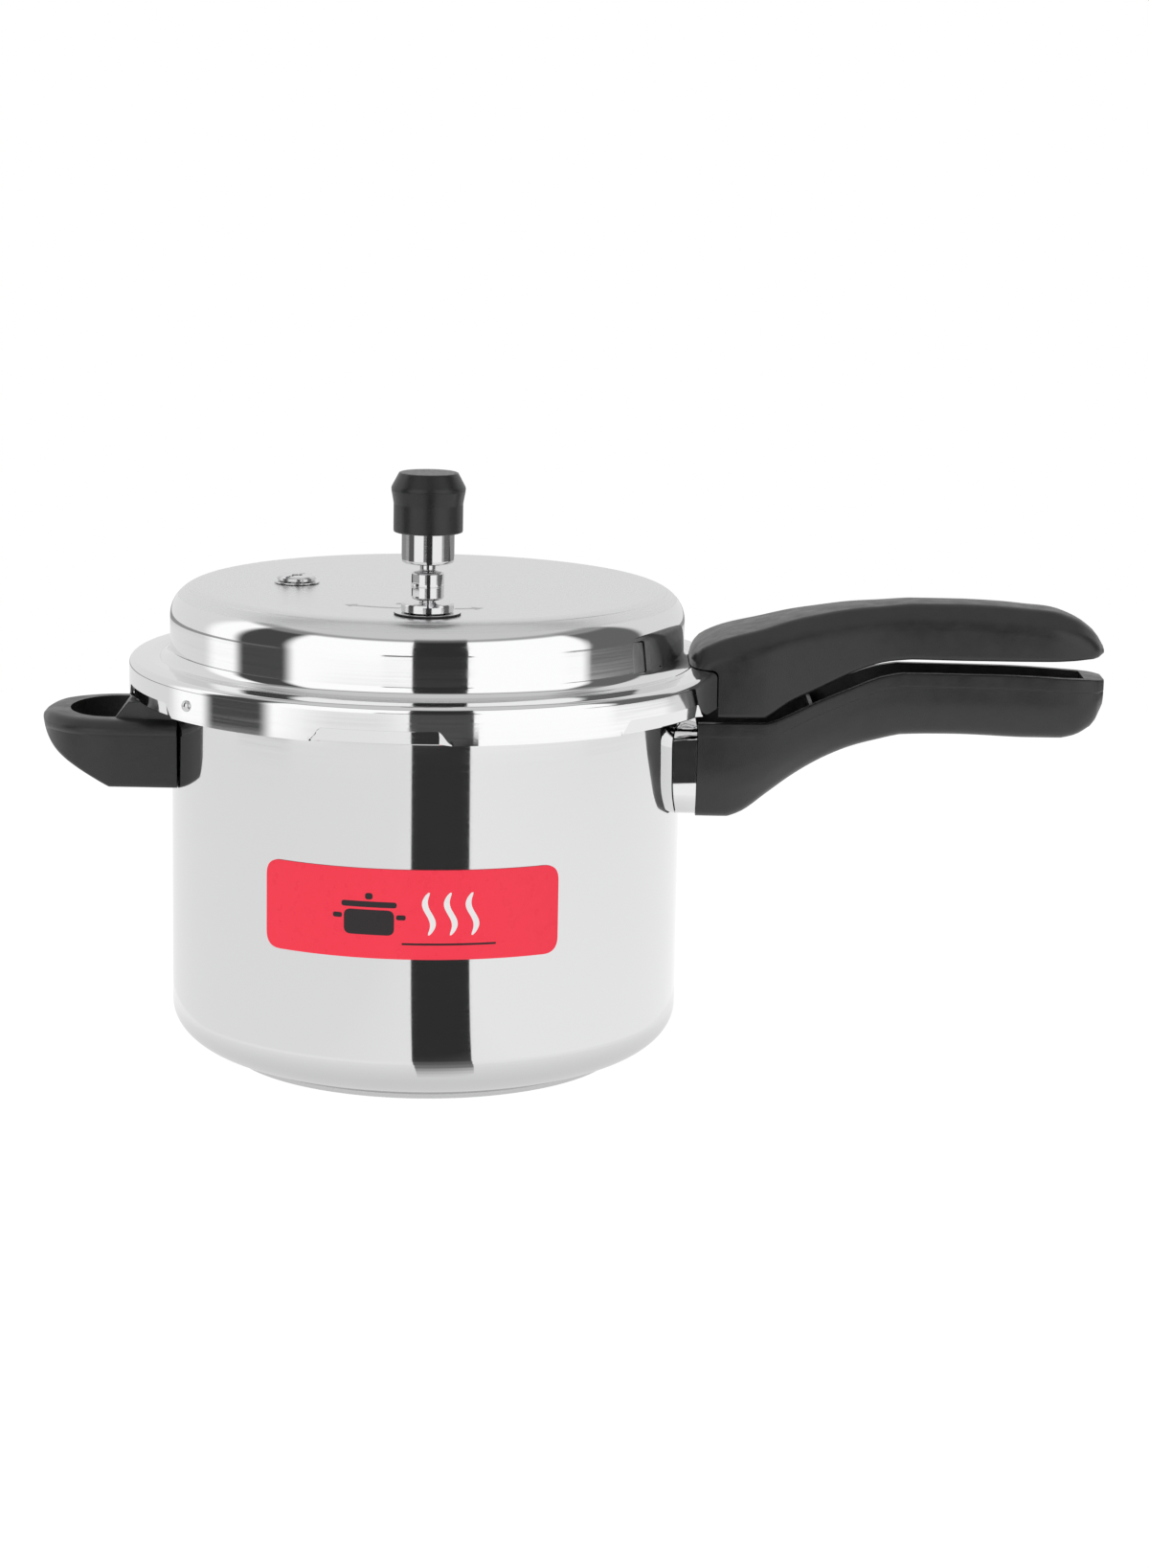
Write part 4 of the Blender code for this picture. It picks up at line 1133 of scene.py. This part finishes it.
class Sky:
    """World shader written as sums on the direction of view, in degrees. Azimuth 0 is the front."""

    def __init__(self):
        world = bpy.data.worlds.new("studio")
        world.use_nodes = True
        bpy.context.scene.world = world
        self.tree = world.node_tree
        self.background = self.tree.nodes["Background"]
        coords = self.tree.nodes.new("ShaderNodeTexCoord")
        split = self.tree.nodes.new("ShaderNodeSeparateXYZ")
        self.tree.links.new(coords.outputs["Generated"], split.inputs[0])
        x, y, z = split.outputs
        degrees = 180 / math.pi
        self.azimuth = self.product(self.sum("ARCTAN2", x, self.product(y, -1.0)), degrees)
        self.elevation = self.product(self.sum("ARCSINE", z), degrees)

    def feed(self, sockets, values):
        for socket, value in zip(sockets, values):
            if isinstance(value, (int, float)):
                socket.default_value = value
            else:
                self.tree.links.new(value, socket)

    def sum(self, operation, *values):
        made = self.tree.nodes.new("ShaderNodeMath")
        made.operation = operation
        self.feed(made.inputs, values)
        return made.outputs[0]

    def product(self, first, *others):
        for other in others:
            first = self.sum("MULTIPLY", first, other)
        return first

    def rise(self, value, low, high):
        """0 below low and 1 above high, with a smooth climb between."""
        made = self.tree.nodes.new("ShaderNodeMapRange")
        made.interpolation_type = "SMOOTHSTEP"
        sockets = (made.inputs["Value"], made.inputs["From Min"], made.inputs["From Max"])
        self.feed(sockets, (value, low, high))
        return made.outputs["Result"]

    def fall(self, value, low, high):
        """1 below low and 0 above high."""
        return self.sum("SUBTRACT", 1.0, self.rise(value, low, high))

    def band(self, value, low, high, soft):
        """1 between low and high, with ends that fade over soft degrees."""
        up = self.rise(value, low - soft / 2, low + soft / 2)
        down = self.rise(value, high - soft / 2, high + soft / 2)
        return self.sum("SUBTRACT", up, down)

    def mix(self, share, base, other):
        made = self.tree.nodes.new("ShaderNodeMix")
        self.feed((made.inputs["Factor"], made.inputs["A"], made.inputs["B"]), (share, base, other))
        return made.outputs["Result"]

    def finish(self, value):
        """Reflections and light see the studio, and the camera sees plain white behind the object."""
        path = self.tree.nodes.new("ShaderNodeLightPath")
        shown = self.mix(path.outputs["Is Camera Ray"], value, 1.0)
        self.tree.links.new(shown, self.background.inputs["Color"])
        self.background.inputs["Strength"].default_value = 1.0


# Brightness of each part of the studio, and the strip's edges in degrees.
PANEL, CEILING, BACK_WALL = 1.22, 0.68, 0.82
FLAG_LEFT, FLAG_RIGHT, DARK_STRIP, SEAM = 0.07, 0.15, 0.033, 0.42
PANEL_FOOT, LEVEL_FLAG = 0.85, 0.16
STRIP_LEFT, STRIP_RIGHT = -4.2, 20.0
FLOOR_R = 0.885


def make_sky():
    """White panels in front, dark flags at the sides, a grey ceiling and a pale wall behind."""
    sky = Sky()
    a, e = sky.azimuth, sky.elevation
    away = sky.sum("ABSOLUTE", a)
    front = sky.mix(sky.rise(e, 38, 45), PANEL, SEAM)
    front = sky.mix(sky.rise(e, 47, 53), front, CEILING)
    back = sky.mix(sky.rise(e, 44, 56), BACK_WALL, SEAM)
    back = sky.mix(sky.rise(e, 58, 64), back, CEILING)
    value = sky.mix(sky.rise(away, 104, 116), front, back)
    # The foot of the panel on the left is dimmer.
    below = sky.rise(sky.product(e, -1.0), 9.7, 10.4)
    value = sky.mix(sky.product(sky.band(a, -45, -5, 30), below), value, PANEL_FOOT)
    # One flag stands at each side, the right one clear of the table.
    value = sky.mix(sky.product(sky.band(a, -90, -61, 8), sky.fall(e, 36, 52)), value, FLAG_LEFT)
    right = sky.product(sky.band(a, 77, 112, 7), sky.fall(e, 36, 52), sky.rise(e, -10.2, -9.6))
    value = sky.mix(right, value, FLAG_RIGHT)
    # The lowest band is what the weight's and the skirt's upright sides see.
    level = sky.band(e, -8.8, -5.6, 0.4)
    value = sky.mix(sky.product(sky.rise(away, 62, 70), 0.75, level), value, LEVEL_FLAG)
    # The dark strip between the panels spreads as it rises, and is wider in the level band.
    rising = sky.sum("POWER", sky.sum("DIVIDE", sky.sum("MAXIMUM", e, 0.0), 57.0), 3.0)
    spread = sky.sum("MULTIPLY_ADD", rising, 0.34, 1.0)
    strip = sky.band(sky.sum("DIVIDE", a, spread), STRIP_LEFT, STRIP_RIGHT, 0.6)
    strip = sky.sum("MAXIMUM", strip, sky.product(sky.band(a, -17, 22, 3), level, 0.9))
    strip = sky.product(strip, sky.fall(e, 38, 58))
    sky.finish(sky.mix(strip, value, sky.mix(sky.rise(e, -10.4, -9.8), 0.09, DARK_STRIP)))


def emitter(name, stops, low, high, axis=None):
    """Emission from (position, value) stops along an axis, or outwards where none is given."""
    made = bpy.data.materials.new(name)
    made.use_nodes = True
    nodes, links = made.node_tree.nodes, made.node_tree.links
    nodes.clear()
    light = nodes.new("ShaderNodeEmission")
    links.new(light.outputs["Emission"], nodes.new("ShaderNodeOutputMaterial").inputs["Surface"])
    coords = nodes.new("ShaderNodeTexCoord")
    if axis is None:
        measure = nodes.new("ShaderNodeVectorMath")
        measure.operation = "LENGTH"
    else:
        measure = nodes.new("ShaderNodeSeparateXYZ")
    links.new(coords.outputs["Object"], measure.inputs[0])
    span = nodes.new("ShaderNodeMapRange")
    span.inputs["From Min"].default_value = low
    span.inputs["From Max"].default_value = high
    links.new(measure.outputs[axis or "Value"], span.inputs["Value"])
    ramp = nodes.new("ShaderNodeValToRGB")
    links.new(span.outputs["Result"], ramp.inputs["Fac"])
    elements = ramp.color_ramp.elements
    while len(elements) < len(stops):
        elements.new(0.5)
    for element, (place, value) in zip(elements, stops):
        element.position = (place - low) / (high - low)
        element.color = (value, value, value, 1)
    links.new(ramp.outputs["Color"], light.inputs["Color"])
    return made


def card(name, verts, faces, surface):
    """A flat studio card that only shows in reflections."""
    mesh = bpy.data.meshes.new(name)
    mesh.from_pydata(verts, [], faces)
    mesh.materials.append(surface)
    obj = bpy.data.objects.new(name, mesh)
    bpy.context.scene.collection.objects.link(obj)
    obj.visible_camera = False
    obj.visible_diffuse = False
    obj.visible_shadow = False
    obj.visible_transmission = False


def disc(radius, height, inner=0.0):
    """Vertices and faces of a flat disc, or of a ring where inner is given."""
    steps = 96
    verts = []
    for i in range(steps):
        c, s = polar(1, 360 * i / steps)
        verts += [(radius * c, radius * s, height), (inner * c, inner * s, height)]
    faces = []
    for i in range(steps):
        k, n = 2 * i, 2 * ((i + 1) % steps)
        faces.append((k, n, n + 1, k + 1))
    return (verts, faces) if inner else (verts[::2], [tuple(range(steps))])


def make_floor():
    """White table, whose cards darken what the pot's wall and foot reflect of it: a dark strip, painted light
    and shade across the table and a painted shadow of the pot round its foot.
    """
    mesh = bpy.data.meshes.new("floor")
    verts, faces = disc(FLOOR_R, 0)
    mesh.from_pydata(verts, [], faces)
    floor = bpy.data.objects.new("floor", mesh)
    floor.location.z = -0.0002
    bpy.context.scene.collection.objects.link(floor)
    surface = Surface("floor", (0.08, 0.08, 0.08), 1.0)
    surface.shader.inputs["Specular IOR Level"].default_value = 0.0
    surface.shader.inputs["Emission Color"].default_value = (1, 1, 1, 1)
    surface.shader.inputs["Emission Strength"].default_value = 0.97
    mesh.materials.append(surface.material)
    foot_r, foot_inner = 0.16, 0.075
    # Painted light and shade on the table: emission dimmer on the left and brightest just right of the
    # middle, standing in for uneven light across it; only reflections see it.
    across = [(-0.9, 0.90), (-0.10, 0.93), (0.10, 1.04), (0.9, 0.98)]
    card("floor_painted_light_and_shade", *disc(FLOOR_R, 0.0002, foot_r), emitter("floor_painted_light_and_shade", across, -0.9, 0.9, "X"))
    # Painted shadow of the pot on the table: the ring's emission dims towards the pot's foot, and only the
    # pot's reflections see it.
    outwards = [(0.08, 0.72), (0.10, 0.76), (0.12, 0.86), (foot_r, 1.0)]
    card("painted_foot_shadow", *disc(foot_r, 0.0003, foot_inner), emitter("painted_foot_shadow", outwards, 0.0, 0.2))
    # The strip on the table carries on from the one in the studio: it fans out away from the pot.
    along = [(-0.188, DARK_STRIP), (-0.172, 0.07), (-0.129, 0.22), (-0.107, 0.78)]
    near, fan_start = 0.107, 0.185
    corners = []
    for y in (near, FLOOR_R):
        left = -0.0042 - 0.077 * (y - fan_start)
        right = 0.0590 + 0.386 * (y - fan_start)
        corners += [(left, -y, 0.0006), (right, -y, 0.0006)]
    card("floor_strip", corners, [(0, 1, 3, 2)], emitter("floor_strip", along, -0.2, -0.1, "Y"))


def make_stage():
    """The studio, the table and one soft lamp above on the left, aimed at the pot."""
    bpy.context.scene.view_settings.view_transform = "Standard"
    make_sky()
    make_floor()
    key = bpy.data.lights.new("key", "AREA")
    key.energy = 5
    key.size = 1.0
    lamp = bpy.data.objects.new("key", key)
    lamp.location = (-0.5, -0.7, 1.7)
    target = Vector((0, 0, 0.12))
    lamp.rotation_euler = (target - lamp.location).to_track_quat("-Z", "Y").to_euler()
    bpy.context.scene.collection.objects.link(lamp)
    lamp.visible_glossy = False


def make_camera():
    """Camera in front and a little above, turned down and rolled by a degree as the view is."""
    data = bpy.data.cameras.new("camera")
    data.lens = 83.34
    data.sensor_width = 36.0
    data.clip_end = 50
    camera = bpy.data.objects.new("camera", data)
    pitch, roll = math.radians(11.372), math.radians(1.053)
    ahead = Vector((0, math.cos(pitch), -math.sin(pitch)))
    right = Vector((1, 0, 0))
    up = right.cross(ahead)
    turned_right = right * math.cos(roll) + up * math.sin(roll)
    turned_up = up * math.cos(roll) - right * math.sin(roll)
    matrix = Matrix((turned_right, turned_up, -ahead)).transposed().to_4x4()
    matrix.translation = (0.0616, -1.4796, 0.4109)
    camera.matrix_world = matrix
    bpy.context.scene.collection.objects.link(camera)
    bpy.context.scene.camera = camera


def main():
    make_camera()
    make_stage()
    mirror = mirror_aluminium()
    bright = turned_steel("bright_steel")
    plain = bracket_steel()
    black = bakelite()
    seal = rubber()
    # The pot's copy of the mirror aluminium is darker than the lid's (0.745 against 0.80): painted shade,
    # standing in for the dimmer table that the pot's wall reflects.
    make_pot(mirror_aluminium("pot_aluminium", colour=0.745))
    make_base(base_metal())
    make_label()
    make_lid(mirror, satin_top())
    make_lid_marks()
    make_rivet(bright)
    make_gasket(seal)
    make_vent(bright, seal)
    make_weight(bright, knob_plastic())
    make_valve(turned_steel("valve_steel", 0.7, (0.12, 0.24)))
    make_lid_handle(black)
    make_pot_handle(black)
    make_ferrule(mirror)
    make_helper_handle(black)
    dress_hidden_nodes(plain, seal)


main()
